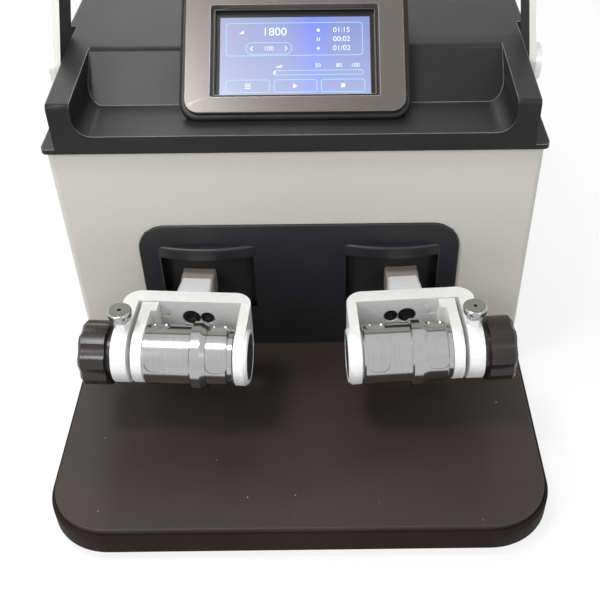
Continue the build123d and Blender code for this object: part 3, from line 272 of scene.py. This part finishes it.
def raised(tree, shader, height, strength, distance):
    """Bumps on a surface from a height value."""
    bump = tree.nodes.new("ShaderNodeBump")
    bump.inputs["Strength"].default_value = strength
    bump.inputs["Distance"].default_value = distance
    link_nodes(tree, height, bump.inputs["Height"])
    link_nodes(tree, bump.outputs[0], shader.inputs["Normal"])


dust_grey = (0.55, 0.52, 0.48)


def moulded_finish(name, dark, light, rough, grain=1400.0, bump=0.25, specular=0.4, dust=0.0, edge=None):
    """Grained moulded plastic: mottled a little, with dust and a painted edge highlight, each where it is
    asked for.
    """
    made, tree, shader = start_finish(name)
    shader.inputs["Specular IOR Level"].default_value = specular
    grain_node = place_group(tree, grain_group, Scale=grain)
    colour = mixed_colour(tree, between(tree, grain_node.outputs["Broad"], 0, 1), dark, light)
    # The edge colour is a painted highlight, a pale line laid on edges that face up.
    if edge:
        colour = mixed_colour(tree, place_group(tree, painted_highlight_group).outputs["Mask"], colour, edge)
    if dust:
        dust_node = place_group(tree, dust_group, Size=dust)
        colour = mixed_colour(tree, dust_node.outputs["Mask"], colour, dust_grey)
    link_nodes(tree, colour, shader.inputs["Base Color"])
    link_nodes(tree, between(tree, grain_node.outputs["Fine"], *rough), shader.inputs["Roughness"])
    raised(tree, shader, grain_node.outputs["Fine"], bump, distance=0.0003)
    return made


def dress(material, *names):
    """Gives CAD nodes their finish."""
    for name in names:
        mesh = nodes[name].data
        mesh.materials.clear()
        mesh.materials.append(material)


sharp_edge = radians(48)
seam_gap = 1e-6


def soften(width, *names):
    """Rounds the sharp edges of CAD nodes by a small radius, as a mould, a press or a file leaves them."""
    for name in names:
        weld = nodes[name].modifiers.new("weld", "WELD")
        weld.merge_threshold = seam_gap
        round_off = nodes[name].modifiers.new("round_off", "BEVEL")
        round_off.width = width
        round_off.segments = 2
        round_off.limit_method = "ANGLE"
        round_off.angle_limit = sharp_edge
        round_off.harden_normals = True


# The tray's edge colour is a faint painted highlight along its edges that face up.
tray_black = moulded_finish(
    "tray_black", (0.014, 0.0095, 0.0085), (0.02, 0.0145, 0.0125), (0.58, 0.68),
    specular=0.06, edge=(0.06, 0.052, 0.048),
)
dress(tray_black, "base_tray")
soften(0.0006, "base_tray")

# Feet: four round feet of soft black rubber, turned and pressed into the underside of the tray.
# The rubber is matte and greyed by the bench.
foot_rubber = moulded_finish(
    "foot_rubber", (0.012, 0.012, 0.012), (0.03, 0.029, 0.028), (0.75, 0.9), grain=700.0, specular=0.25
)
dress(foot_rubber, "rubber_feet")

# Working plate: a flat black sheet with a leather-like grain, set into the tray's top. Crumbs and
# dust lie on it, as they do under any mill.
plate_black = moulded_finish(
    "plate_black", (0.018, 0.0125, 0.0105), (0.028, 0.0205, 0.018), (0.42, 0.55),
    grain=1100.0, bump=0.35, dust=0.03,
)
dress(plate_black, "working_plate")
soften(0.0003, "working_plate")

# Housing: sheet steel wrapped round the drive, with a warm grey powder coat, whose fine orange peel
# shows as speckle in the light.
speckle_range = (0.25, 0.75)


def powder_finish(name, dark, light, rough=(0.48, 0.6), peel=1300.0, bump=0.3):
    """Powder coat: fine orange peel with a faint speckle."""
    made, tree, shader = start_finish(name)
    shader.inputs["Specular IOR Level"].default_value = 0.35
    peel_node = place_group(tree, grain_group, Scale=peel)
    colour = mixed_colour(tree, between(tree, peel_node.outputs["Fine"], 0, 1, *speckle_range), dark, light)
    link_nodes(tree, colour, shader.inputs["Base Color"])
    link_nodes(tree, between(tree, peel_node.outputs["Fine"], *rough), shader.inputs["Roughness"])
    raised(tree, shader, peel_node.outputs["Fine"], bump, distance=0.0002)
    return made


housing_grey = powder_finish("housing_grey", (0.485, 0.475, 0.43), (0.575, 0.565, 0.515))
dress(housing_grey, "housing", "rear_panel")

# Front insert: a black moulding set into the front of the housing, with two cylindrical cowls,
# through whose windows the arms leave. Its grain is finer and a little glossier than the tray's.
insert_black = moulded_finish(
    "insert_black", (0.0115, 0.0113, 0.0135), (0.0165, 0.0162, 0.019), (0.33, 0.45), grain=1600.0, bump=0.2
)
dress(insert_black, "front_insert")

# Rocker arms: castings with a brown grey satin coat. A black sheet on each neck shuts its window,
# and bronze bushes carry the hubs on ground shafts.
arm_coat = powder_finish("arm_coat", (0.21, 0.18, 0.16), (0.29, 0.25, 0.23), rough=(0.32, 0.45))
shield_black = powder_finish("shield_black", (0.01, 0.01, 0.01), (0.018, 0.018, 0.018))


def metal_finish(name, dark, light, rough, turn=0.0, stretch=(1, 1, 1), grain=600.0, bump=0.12, metal=1.0):
    """Bare metal with the lines that a tool or a belt leaves, turned with the piece they are on."""
    made, tree, shader = start_finish(name)
    shader.inputs["Metallic"].default_value = metal
    line_node = place_group(tree, grain_group, Scale=grain, Turn=(0, 0, radians(turn)), Stretch=stretch)
    colour = mixed_colour(tree, between(tree, line_node.outputs["Fine"], 0, 1), dark, light)
    link_nodes(tree, colour, shader.inputs["Base Color"])
    link_nodes(tree, between(tree, line_node.outputs["Fine"], *rough), shader.inputs["Roughness"])
    raised(tree, shader, line_node.outputs["Fine"], bump, distance=0.0001)
    return made


bush_bronze = metal_finish("bush_bronze", (0.42, 0.26, 0.1), (0.6, 0.4, 0.18), (0.4, 0.55))
ground_steel = metal_finish(
    "ground_steel", (0.45, 0.45, 0.46), (0.6, 0.6, 0.6), (0.2, 0.32), stretch=(1, 1, 4)
)
for side in ("left", "right"):
    dress(arm_coat, f"rocker_arm_{side}")
    dress(shield_black, f"arm_shield_{side}")
    dress(bush_bronze, f"pivot_bearings_{side}")

# Drive inside the housing: a painted frame of cut plate that carries ground shafts, a crank and the
# cast motor, with painted rods to the arms, a folded zinc supply case and a green control board.
frame_grey = powder_finish("frame_grey", (0.2, 0.21, 0.22), (0.27, 0.28, 0.29))
motor_grey = powder_finish("motor_grey", (0.3, 0.31, 0.32), (0.4, 0.41, 0.42), rough=(0.35, 0.5))
folded_zinc = metal_finish(
    "folded_zinc", (0.5, 0.51, 0.52), (0.66, 0.67, 0.68), (0.4, 0.55), stretch=(1, 8, 1)
)
board_green = moulded_finish(
    "board_green", (0.01, 0.11, 0.045), (0.015, 0.15, 0.06), (0.3, 0.4), grain=400.0, bump=0.1
)
dress(frame_grey, "drive_frame", "drive_rod_left", "drive_rod_right")
dress(ground_steel, "pivot_shafts", "eccentric_crank", "clamp_spindle_left", "clamp_spindle_right")
dress(motor_grey, "drive_motor")
dress(folded_zinc, "power_supply")
dress(board_green, "control_board")

# Jar clamps: machined from solid steel and satin blasted, each with a fixed jaw, a moving jaw, a
# guide for its locking pin and black socket screws that hold it to the arm.
arm_yaw = {"left": -3.5, "right": 3.5}
socket_black = metal_finish("socket_black", (0.1, 0.1, 0.1), (0.17, 0.17, 0.17), (0.25, 0.38))
for side, yaw in arm_yaw.items():
    satin_steel = metal_finish(
        f"satin_steel_{side}", (0.8, 0.8, 0.79), (0.88, 0.88, 0.87), (0.4, 0.52),
        turn=-yaw, stretch=(0.25, 1, 1), grain=900.0, metal=0.35,
    )
    dress(satin_steel, f"clamp_{side}", f"fixed_jaw_{side}", f"moving_jaw_{side}", f"pin_guide_{side}")
    dress(socket_black, f"clamp_screws_{side}")
    soften(0.0004, f"clamp_{side}", f"moving_jaw_{side}")

# End plugs: dark discs of hard rubber with a dished middle. They are moulded, and one is glued into
# the round recess in the end of each fixed jaw.
plug_rubber = moulded_finish(
    "plug_rubber", (0.02, 0.02, 0.02), (0.035, 0.035, 0.035), (0.5, 0.62),
    grain=700.0, bump=0.15, specular=0.3,
)
plug_radius = 0.0178
plug_round = 0.0004
plug_dish = 0.012
plug_dish_floor = 0.0115
plug_middle = 0.004
plug_seat = -0.0509
plug_thickness = 0.0009
plug_face = plug_seat - plug_thickness
plug_step = 6
arm_shaft = Vector((0.075, 0.0995, 0.031))
jar_reach = 0.2215
jar_height = 0.07


def finish_piece(name, mesh, material, body):
    """Turns a built mesh into a piece of the mill that rides on a body."""
    data = bpy.data.meshes.new(name)
    mesh.to_mesh(data)
    mesh.free()
    data.materials.append(material)
    piece = bpy.data.objects.new(name, data)
    bpy.context.scene.collection.objects.link(piece)
    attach(piece, body)
    return piece


def arm_point(side, outwards, back, up):
    """A point in one arm's own frame, placed by how far outwards, back and up from its shaft's foot."""
    sign = 1 if side == "right" else -1
    spun = Matrix.Rotation(radians(arm_yaw[side]), 4, "Z") @ Vector((sign * outwards, back, up))
    return Vector((sign * arm_shaft.x, arm_shaft.y, arm_shaft.z)) + spun


def join_rings(mesh, first, second):
    """A band of four-sided faces between two closed rings of points."""
    for here in range(len(first)):
        after = (here + 1) % len(first)
        mesh.faces.new((first[here], first[after], second[after], second[here]))


for side in arm_yaw:
    plug = bmesh.new()
    rings = []
    for radius, depth in (
        (plug_radius, plug_seat), (plug_radius, plug_face + plug_round),
        (plug_radius - plug_round, plug_face), (plug_dish, plug_face),
        (plug_dish_floor, plug_face + plug_round), (plug_middle, plug_face + plug_round),
    ):
        rings.append([
            plug.verts.new(arm_point(
                side,
                depth,
                radius * cos(radians(turn)) - jar_reach,
                radius * sin(radians(turn)) + jar_height,
            ))
            for turn in range(0, 360, plug_step)
        ])
    for low, high in zip(rings, rings[1:]):
        join_rings(plug, low, high)
    plug.faces.new(rings[0])
    plug.faces.new(rings[-1])
    bmesh.ops.recalc_face_normals(plug, faces=plug.faces)
    finish_piece(f"end_plug_{side}", plug, plug_rubber, f"rocker_{side}")

# Grinding jars: bar steel turned on a lathe, so fine rings run round them, polished where they are
# handled. Body, collar and cap screw together round a polished ball.
ball_polish = metal_finish("ball_polish", (0.7, 0.7, 0.7), (0.78, 0.78, 0.78), (0.05, 0.1), bump=0.02)
for side, yaw in arm_yaw.items():
    turned_steel = metal_finish(
        f"turned_steel_{side}", (0.4, 0.4, 0.4), (0.47, 0.47, 0.47), (0.13, 0.18),
        turn=-yaw, stretch=(6, 0.05, 0.05), grain=900.0, bump=0.02,
    )
    dress(turned_steel, f"jar_body_{side}", f"jar_collar_{side}", f"jar_cap_{side}", f"pull_pin_{side}")
    dress(ball_polish, f"grinding_ball_{side}")

# Clamping knobs: fluted grips, moulded in a brown black plastic round the head of each clamping
# screw. They have the low sheen of hard plastic that hands have rubbed.
knob_brown = moulded_finish(
    "knob_brown", (0.01, 0.0072, 0.007), (0.017, 0.0125, 0.012), (0.24, 0.34),
    grain=900.0, bump=0.12, specular=0.45,
)
dress(knob_brown, "clamp_knob_left", "clamp_knob_right")

# Top cover: a thin-walled black moulding with a tray, two shoulders and a scooped wall, and on it
# the console's case in the same grained plastic. A thin pale painted highlight runs along their upward
# rounded edges.
cover_black = moulded_finish(
    "cover_black", (0.011, 0.0102, 0.0108), (0.018, 0.0168, 0.0175), (0.34, 0.44),
    grain=1200.0, bump=0.3, specular=0.2, edge=(0.5, 0.47, 0.45),
)
dress(cover_black, "top_cover", "console_case")
soften(0.0009, "top_cover", "console_case")

# Console bezel: a smooth satin plate in dark metallic lacquer, let into the console's case, with a
# painted highlight, a thin pale line, along its edges that face up.
bezel_made, bezel_tree, bezel_shader = start_finish("bezel_lacquer")
bezel_shader.inputs["Metallic"].default_value = 0.35
bezel_shader.inputs["Coat Weight"].default_value = 0.25
bezel_shader.inputs["Coat Roughness"].default_value = 0.2
bezel_lines = place_group(bezel_tree, grain_group, Scale=2200.0)
bezel_colour = mixed_colour(
    bezel_tree,
    between(bezel_tree, bezel_lines.outputs["Fine"], 0, 1),
    (0.072, 0.062, 0.056),
    (0.09, 0.079, 0.071),
)
# A painted highlight: a pale line along the bezel's edges that face up.
bezel_colour = mixed_colour(
    bezel_tree, place_group(bezel_tree, painted_highlight_group).outputs["Mask"], bezel_colour, (0.62, 0.6, 0.57)
)
link_nodes(bezel_tree, bezel_colour, bezel_shader.inputs["Base Color"])
link_nodes(
    bezel_tree, between(bezel_tree, bezel_lines.outputs["Fine"], 0.3, 0.42), bezel_shader.inputs["Roughness"]
)
dress(bezel_made, "console_bezel")
soften(0.0003, "console_bezel")

# Touch screen: a lit panel behind dark glass, sunk into the bezel's window. Its light is deep blue
# right of the middle and paler to the left and below.
console_lean = radians(36.9)
console_origin = Vector((0, -0.0185, 0.249))
screen_depth = 0.007
display_width = 0.1107
display_height = 0.0623
display_middle = 0.048
console_along = Vector((0, cos(console_lean), sin(console_lean)))
console_out = Vector((0, -sin(console_lean), cos(console_lean)))


def display_point(across, down, lift):
    """A point on the display: across and down as shares of its width and height, lifted off the glass."""
    x = (across - 0.5) * display_width
    along = display_middle + (0.5 - down) * display_height
    return console_origin + Vector((x, 0, 0)) + console_along * along + console_out * (lift - screen_depth)


screen_made, screen_tree, screen_shader = start_finish("screen_glow")
screen_shader.inputs["Base Color"].default_value = (0.01, 0.01, 0.014, 1)
screen_shader.inputs["Roughness"].default_value = 0.12
screen_shader.inputs["Emission Strength"].default_value = 1.2
screen_place = screen_tree.nodes.new("ShaderNodeTexCoord")
screen_axes = screen_tree.nodes.new("ShaderNodeSeparateXYZ")
link_nodes(screen_tree, screen_place.outputs["Object"], screen_axes.inputs[0])
screen_ramp = screen_tree.nodes.new("ShaderNodeValToRGB")
ramp = screen_ramp.color_ramp
ramp.elements[0].position = 0.0
ramp.elements[0].color = (0.36, 0.38, 0.56, 1)
ramp.elements[1].position = 1.0
ramp.elements[1].color = (0.2, 0.25, 0.55, 1)
for spot, colour in ((0.45, (0.26, 0.3, 0.58)), (0.62, (0.17, 0.23, 0.8)), (0.8, (0.2, 0.25, 0.55))):
    ramp.elements.new(spot).color = (*colour, 1)
link_nodes(
    screen_tree,
    between(screen_tree, screen_axes.outputs["X"], 0, 1, -display_width / 2, display_width / 2),
    screen_ramp.inputs[0],
)
screen_low = display_point(0.5, 1, 0).z
screen_high = display_point(0.5, 0, 0).z
screen_colour = mixed_colour(
    screen_tree,
    between(screen_tree, screen_axes.outputs["Z"], 0.45, 0, screen_low, screen_high),
    screen_ramp.outputs[0],
    (0.5, 0.54, 0.72),
)
link_nodes(screen_tree, screen_colour, screen_shader.inputs["Emission Color"])
dress(screen_made, "touch_screen")

# Readouts on the display: frames, numbers and signs in pale blue light. They are thin shapes just
# proud of the panel, with no words: signs stand where a real panel has its labels.
readout_lift = 0.0001
frame_line = 0.0005
corner_step = 15


def outline_ring(mesh, left, top, right, bottom, corner):
    """A rounded frame on the display, in shares of its size, with a corner in metres."""
    middle_x = (left + right) / 2
    middle_y = (top + bottom) / 2
    half_w = (right - left) / 2 * display_width
    half_h = (bottom - top) / 2 * display_height
    loops = []
    for inset in (0, frame_line):
        loop = []
        for quarter, (sign_x, sign_y) in enumerate(((1, 1), (-1, 1), (-1, -1), (1, -1))):
            for turn in range(90 * quarter, 90 * quarter + 91, corner_step):
                x = sign_x * (half_w - corner) + (corner - inset) * cos(radians(turn))
                y = sign_y * (half_h - corner) + (corner - inset) * sin(radians(turn))
                across = middle_x + x / display_width
                down = middle_y - y / display_height
                loop.append(mesh.verts.new(display_point(across, down, readout_lift)))
        loops.append(loop)
    join_rings(mesh, *loops)


millimetre = 0.001


def flat_shape(mesh, across, down, points):
    """A filled shape on the display, its points in millimetres about a middle in shares."""
    corners = []
    for x, y in points:
        point_across = across + x * millimetre / display_width
        point_down = down - y * millimetre / display_height
        corners.append(mesh.verts.new(display_point(point_across, point_down, readout_lift)))
    mesh.faces.new(corners)


def block(left, low, right, high):
    """The corners of a straight-sided sign."""
    return [(left, low), (right, low), (right, high), (left, high)]


type_size_per_height = 1.38


def number_shape(mesh, text, across, down, height):
    """Numbers on the display, centred on a spot in shares, of a height in metres."""
    letters = bpy.data.curves.new("numbers", "FONT")
    letters.body = text
    letters.size = height * type_size_per_height
    letters.align_x = "CENTER"
    letters.align_y = "CENTER"
    holder = bpy.data.objects.new("numbers", letters)
    flat = bpy.data.meshes.new_from_object(holder)
    for vertex in flat.vertices:
        x, y, _ = vertex.co
        vertex.co = display_point(across + x / display_width, down - y / display_height, readout_lift)
    mesh.from_mesh(flat)
    bpy.data.objects.remove(holder)
    bpy.data.meshes.remove(flat)


faded_share = 0.75


def glow_finish(name, colour, strength):
    """Light from the panel, a little uneven as its rows of dots make it."""
    made, tree, shader = start_finish(name)
    shader.inputs["Base Color"].default_value = (0.01, 0.01, 0.012, 1)
    shader.inputs["Emission Strength"].default_value = strength
    dots = place_group(tree, grain_group, Scale=2500.0)
    faded = tuple(c * faded_share for c in colour)
    link_nodes(
        tree,
        mixed_colour(tree, between(tree, dots.outputs["Fine"], 0, 1), faded, colour),
        shader.inputs["Emission Color"],
    )
    return made


frame_light = glow_finish("frame_light", (0.42, 0.85, 1.0), 1.1)
number_light = glow_finish("number_light", (0.85, 0.98, 1.0), 1.25)
frames = bmesh.new()
outline_ring(frames, left=0.025, top=0.05, right=0.965, bottom=0.49, corner=0.0028)
outline_ring(frames, left=0.16, top=0.31, right=0.48, bottom=0.47, corner=0.0049)
outline_ring(frames, left=0.35, top=0.68, right=0.965, bottom=0.745, corner=0.0019)
for left, right in ((0.025, 0.328), (0.355, 0.65), (0.675, 0.975)):
    outline_ring(frames, left, 0.8, right, 0.97, corner=0.0024)
finish_piece("screen_frames", frames, frame_light, "root")
numbers = bmesh.new()
for figures, across, down, height in (
    ("1800", 0.36, 0.175, 0.0068),
    ("100", 0.32, 0.395, 0.0038),
    ("01:15", 0.82, 0.155, 0.0043),
    ("00:02", 0.82, 0.275, 0.0043),
    ("01/02", 0.82, 0.395, 0.0043),
    ("50", 0.655, 0.622, 0.0033),
    ("80", 0.8, 0.622, 0.0033),
    ("100", 0.91, 0.622, 0.0033),
):
    number_shape(numbers, figures, across, down, height)

# Signs, in millimetres: a dot, a pause and a diamond for the three rows, a wedge by the set speed,
# arrows on both sides of the lower number, and the start of the bar
sign_half = 1.3
stroke_half = 0.35
dot = [(sign_half * cos(radians(turn)), sign_half * sin(radians(turn))) for turn in range(0, 360, 30)]
flat_shape(numbers, 0.66, 0.155, dot)
for step in (-0.8, 0.8):
    flat_shape(numbers, 0.66, 0.275, block(step - stroke_half, -sign_half, step + stroke_half, sign_half))
flat_shape(numbers, 0.66, 0.395, [(-sign_half, 0), (0, -sign_half), (sign_half, 0), (0, sign_half)])
flat_shape(numbers, 0.13, 0.175, [(-1.9, -1.3), (1.9, -1.3), (1.9, 1.5)])
arrow = ((-0.9, 1.9), (-0.1, 1.9), (1.5, 0), (-0.1, -1.9), (-0.9, -1.9), (0.5, 0))
for across, way in ((0.205, -1), (0.435, 1)):
    flat_shape(numbers, across, 0.392, [(way * x, y) for x, y in arrow][::way])
flat_shape(numbers, 0.362, 0.7125, block(-1.0, -1.5, 0.5, 1.5))

# Signs on the buttons: three lines, a start wedge and a stop block, and three steps over the bar
flat_shape(numbers, 0.5, 0.885, [(-1.4, 1.9), (-1.4, -1.9), (1.8, 0)])
flat_shape(numbers, 0.825, 0.885, block(-1.5, -1.5, 1.5, 1.5))
for step in (-1.6, 0, 1.6):
    flat_shape(numbers, 0.177, 0.885, block(-2.2, step - stroke_half, 2.2, step + stroke_half))
    flat_shape(numbers, 0.39, 0.63, block(step - 0.5, -1.0, step + 0.5, 0.6 + step * 0.4))
finish_piece("screen_numbers", numbers, number_light, "root")

# Hood: a clear moulded shell, screwed between two cut arms that are black on their flat sides and
# pale on their edges. They turn on steel pins with turned caps in the cover's sides, and the hood
# stands open behind the console.
clear_made, clear_tree, clear_shader = start_finish("clear_hood")
clear_shader.inputs["Transmission Weight"].default_value = 1.0
clear_shader.inputs["IOR"].default_value = 1.49
clear_haze = place_group(clear_tree, grain_group, Scale=120.0)
link_nodes(
    clear_tree,
    between(clear_tree, clear_haze.outputs["Broad"], 0.01, 0.05),
    clear_shader.inputs["Roughness"],
)
link_nodes(
    clear_tree,
    mixed_colour(clear_tree, clear_haze.outputs["Broad"], (0.94, 0.97, 0.98), (0.98, 0.99, 1.0)),
    clear_shader.inputs["Base Color"],
)
clear_path = clear_tree.nodes.new("ShaderNodeLightPath")
clear_pass = clear_tree.nodes.new("ShaderNodeBsdfTransparent")
clear_pass.inputs["Color"].default_value = (0.9, 0.92, 0.92, 1)
blend_shaders(
    clear_tree,
    clear_path.outputs["Is Shadow Ray"],
    clear_shader.outputs[0],
    clear_pass.outputs[0],
    "Material Output",
)
dress(clear_made, "hood_shell")
arm_made, arm_tree, arm_shader = start_finish("hood_arm_satin")
arm_grain = place_group(arm_tree, grain_group, Scale=1300.0)
arm_side = arm_tree.nodes.new("ShaderNodeNewGeometry")
arm_axes = arm_tree.nodes.new("ShaderNodeSeparateXYZ")
link_nodes(arm_tree, arm_side.outputs["True Normal"], arm_axes.inputs[0])
arm_flat = arm_tree.nodes.new("ShaderNodeMath")
arm_flat.operation = "ABSOLUTE"
link_nodes(arm_tree, arm_axes.outputs["X"], arm_flat.inputs[0])
arm_share = between(arm_tree, arm_grain.outputs["Fine"], 0, 1)
arm_colour = mixed_colour(
    arm_tree,
    between(arm_tree, arm_flat.outputs[0], 0, 1, 0.5, 0.6),
    mixed_colour(arm_tree, arm_share, (0.52, 0.52, 0.47), (0.6, 0.6, 0.55)),
    mixed_colour(arm_tree, arm_share, (0.009, 0.009, 0.011), (0.015, 0.015, 0.018)),
)
link_nodes(arm_tree, arm_colour, arm_shader.inputs["Base Color"])
link_nodes(arm_tree, between(arm_tree, arm_grain.outputs["Fine"], 0.3, 0.42), arm_shader.inputs["Roughness"])
dress(arm_made, "hood_arm_left", "hood_arm_right")
soften(0.0005, "hood_arm_left", "hood_arm_right")
cap_steel = metal_finish(
    "cap_steel", (0.66, 0.66, 0.65), (0.82, 0.82, 0.81), (0.25, 0.36), stretch=(4, 1, 1)
)
dress(cap_steel, "hood_pivots")
screw_steel = metal_finish("screw_steel", (0.5, 0.5, 0.5), (0.68, 0.68, 0.68), (0.25, 0.36))
dress(screw_steel, "hood_screws")

# Electrics on the back: a moulded fan behind its grille, and in the panel's openings the inlet for a
# mains lead and the rocker switch over it, whose cap is polished plastic.
dress(cover_black, "fan_frame", "fan_impeller")
inlet_black = moulded_finish(
    "inlet_black", (0.01, 0.01, 0.01), (0.018, 0.018, 0.018), (0.3, 0.42), grain=1800.0, bump=0.12
)
switch_black = moulded_finish(
    "switch_black", (0.012, 0.012, 0.012), (0.02, 0.02, 0.02), (0.14, 0.2),
    grain=300.0, bump=0.03, specular=0.5,
)
dress(inlet_black, "power_inlet", "switch_case")
dress(switch_black, "switch_rocker")

# Panel screws: zinc-plated steel pan heads, cold headed with a cross recess. Six hold the back panel
# along its upper and lower edge, and four hold the fan.
zinc_bright = metal_finish("zinc_bright", (0.5, 0.51, 0.52), (0.62, 0.63, 0.64), (0.25, 0.36))
head_radius = 0.0032
head_height = 0.0016
cross_arm = 0.0018
cross_half = 0.0004
cross_floor = 0.4
head_step = 15
fan_pitch = 0.0357


def box_corners(name):
    """The corners of the box round a CAD node."""
    return [nodes[name].matrix_world @ Vector(c) for c in nodes[name].bound_box]


panel_corners = box_corners("rear_panel")
panel_low = Vector([min(c[k] for c in panel_corners) for k in range(3)])
panel_high = Vector([max(c[k] for c in panel_corners) for k in range(3)])
fan_corners = box_corners("fan_frame")
fan_middle = sum(fan_corners, Vector()) / len(fan_corners)


def pan_head(mesh, x, y, z):
    """A pan head that stands on the back panel, with a cross cut as four small walls."""
    rings = []
    for share, lift in ((1.0, 0.0), (1.0, 0.35), (0.85, 0.75), (0.6, 0.95)):
        rings.append([
            mesh.verts.new((
                x + share * head_radius * cos(radians(turn)), y + lift * head_height,
                z + share * head_radius * sin(radians(turn)),
            ))
            for turn in range(0, 360, head_step)
        ])
    for low, high in zip(rings, rings[1:]):
        join_rings(mesh, high, low)
    star = []
    for turn in range(0, 360, 90):
        for along, across in ((cross_half, -cross_half), (cross_arm, -cross_half), (cross_arm, cross_half)):
            spun_x = along * cos(radians(turn)) - across * sin(radians(turn))
            spun_z = along * sin(radians(turn)) + across * cos(radians(turn))
            star.append((spun_x, spun_z))
    edge = [mesh.verts.new((x + a, y + head_height, z + b)) for a, b in star]
    floor = [mesh.verts.new((x + a, y + head_height * cross_floor, z + b)) for a, b in star]
    join_rings(mesh, edge, floor)
    mesh.faces.new(floor)
    links = []
    for ring in (edge, rings[-1]):
        links += [mesh.edges.get((here, after)) for here, after in zip(ring, ring[1:] + ring[:1])]
    bmesh.ops.triangle_fill(mesh, edges=links, use_beauty=True)


screws = bmesh.new()
screw_edge = 0.004
for x in (panel_low.x + screw_edge, 0.0, panel_high.x - screw_edge):
    for z in (panel_low.z + screw_edge, panel_high.z - screw_edge):
        pan_head(screws, x, panel_high.y, z)
for x in (-fan_pitch, fan_pitch):
    for z in (-fan_pitch, fan_pitch):
        pan_head(screws, fan_middle.x + x, panel_high.y, fan_middle.z + z)
bmesh.ops.recalc_face_normals(screws, faces=screws.faces)
finish_piece("panel_screws", screws, zinc_bright, "root")
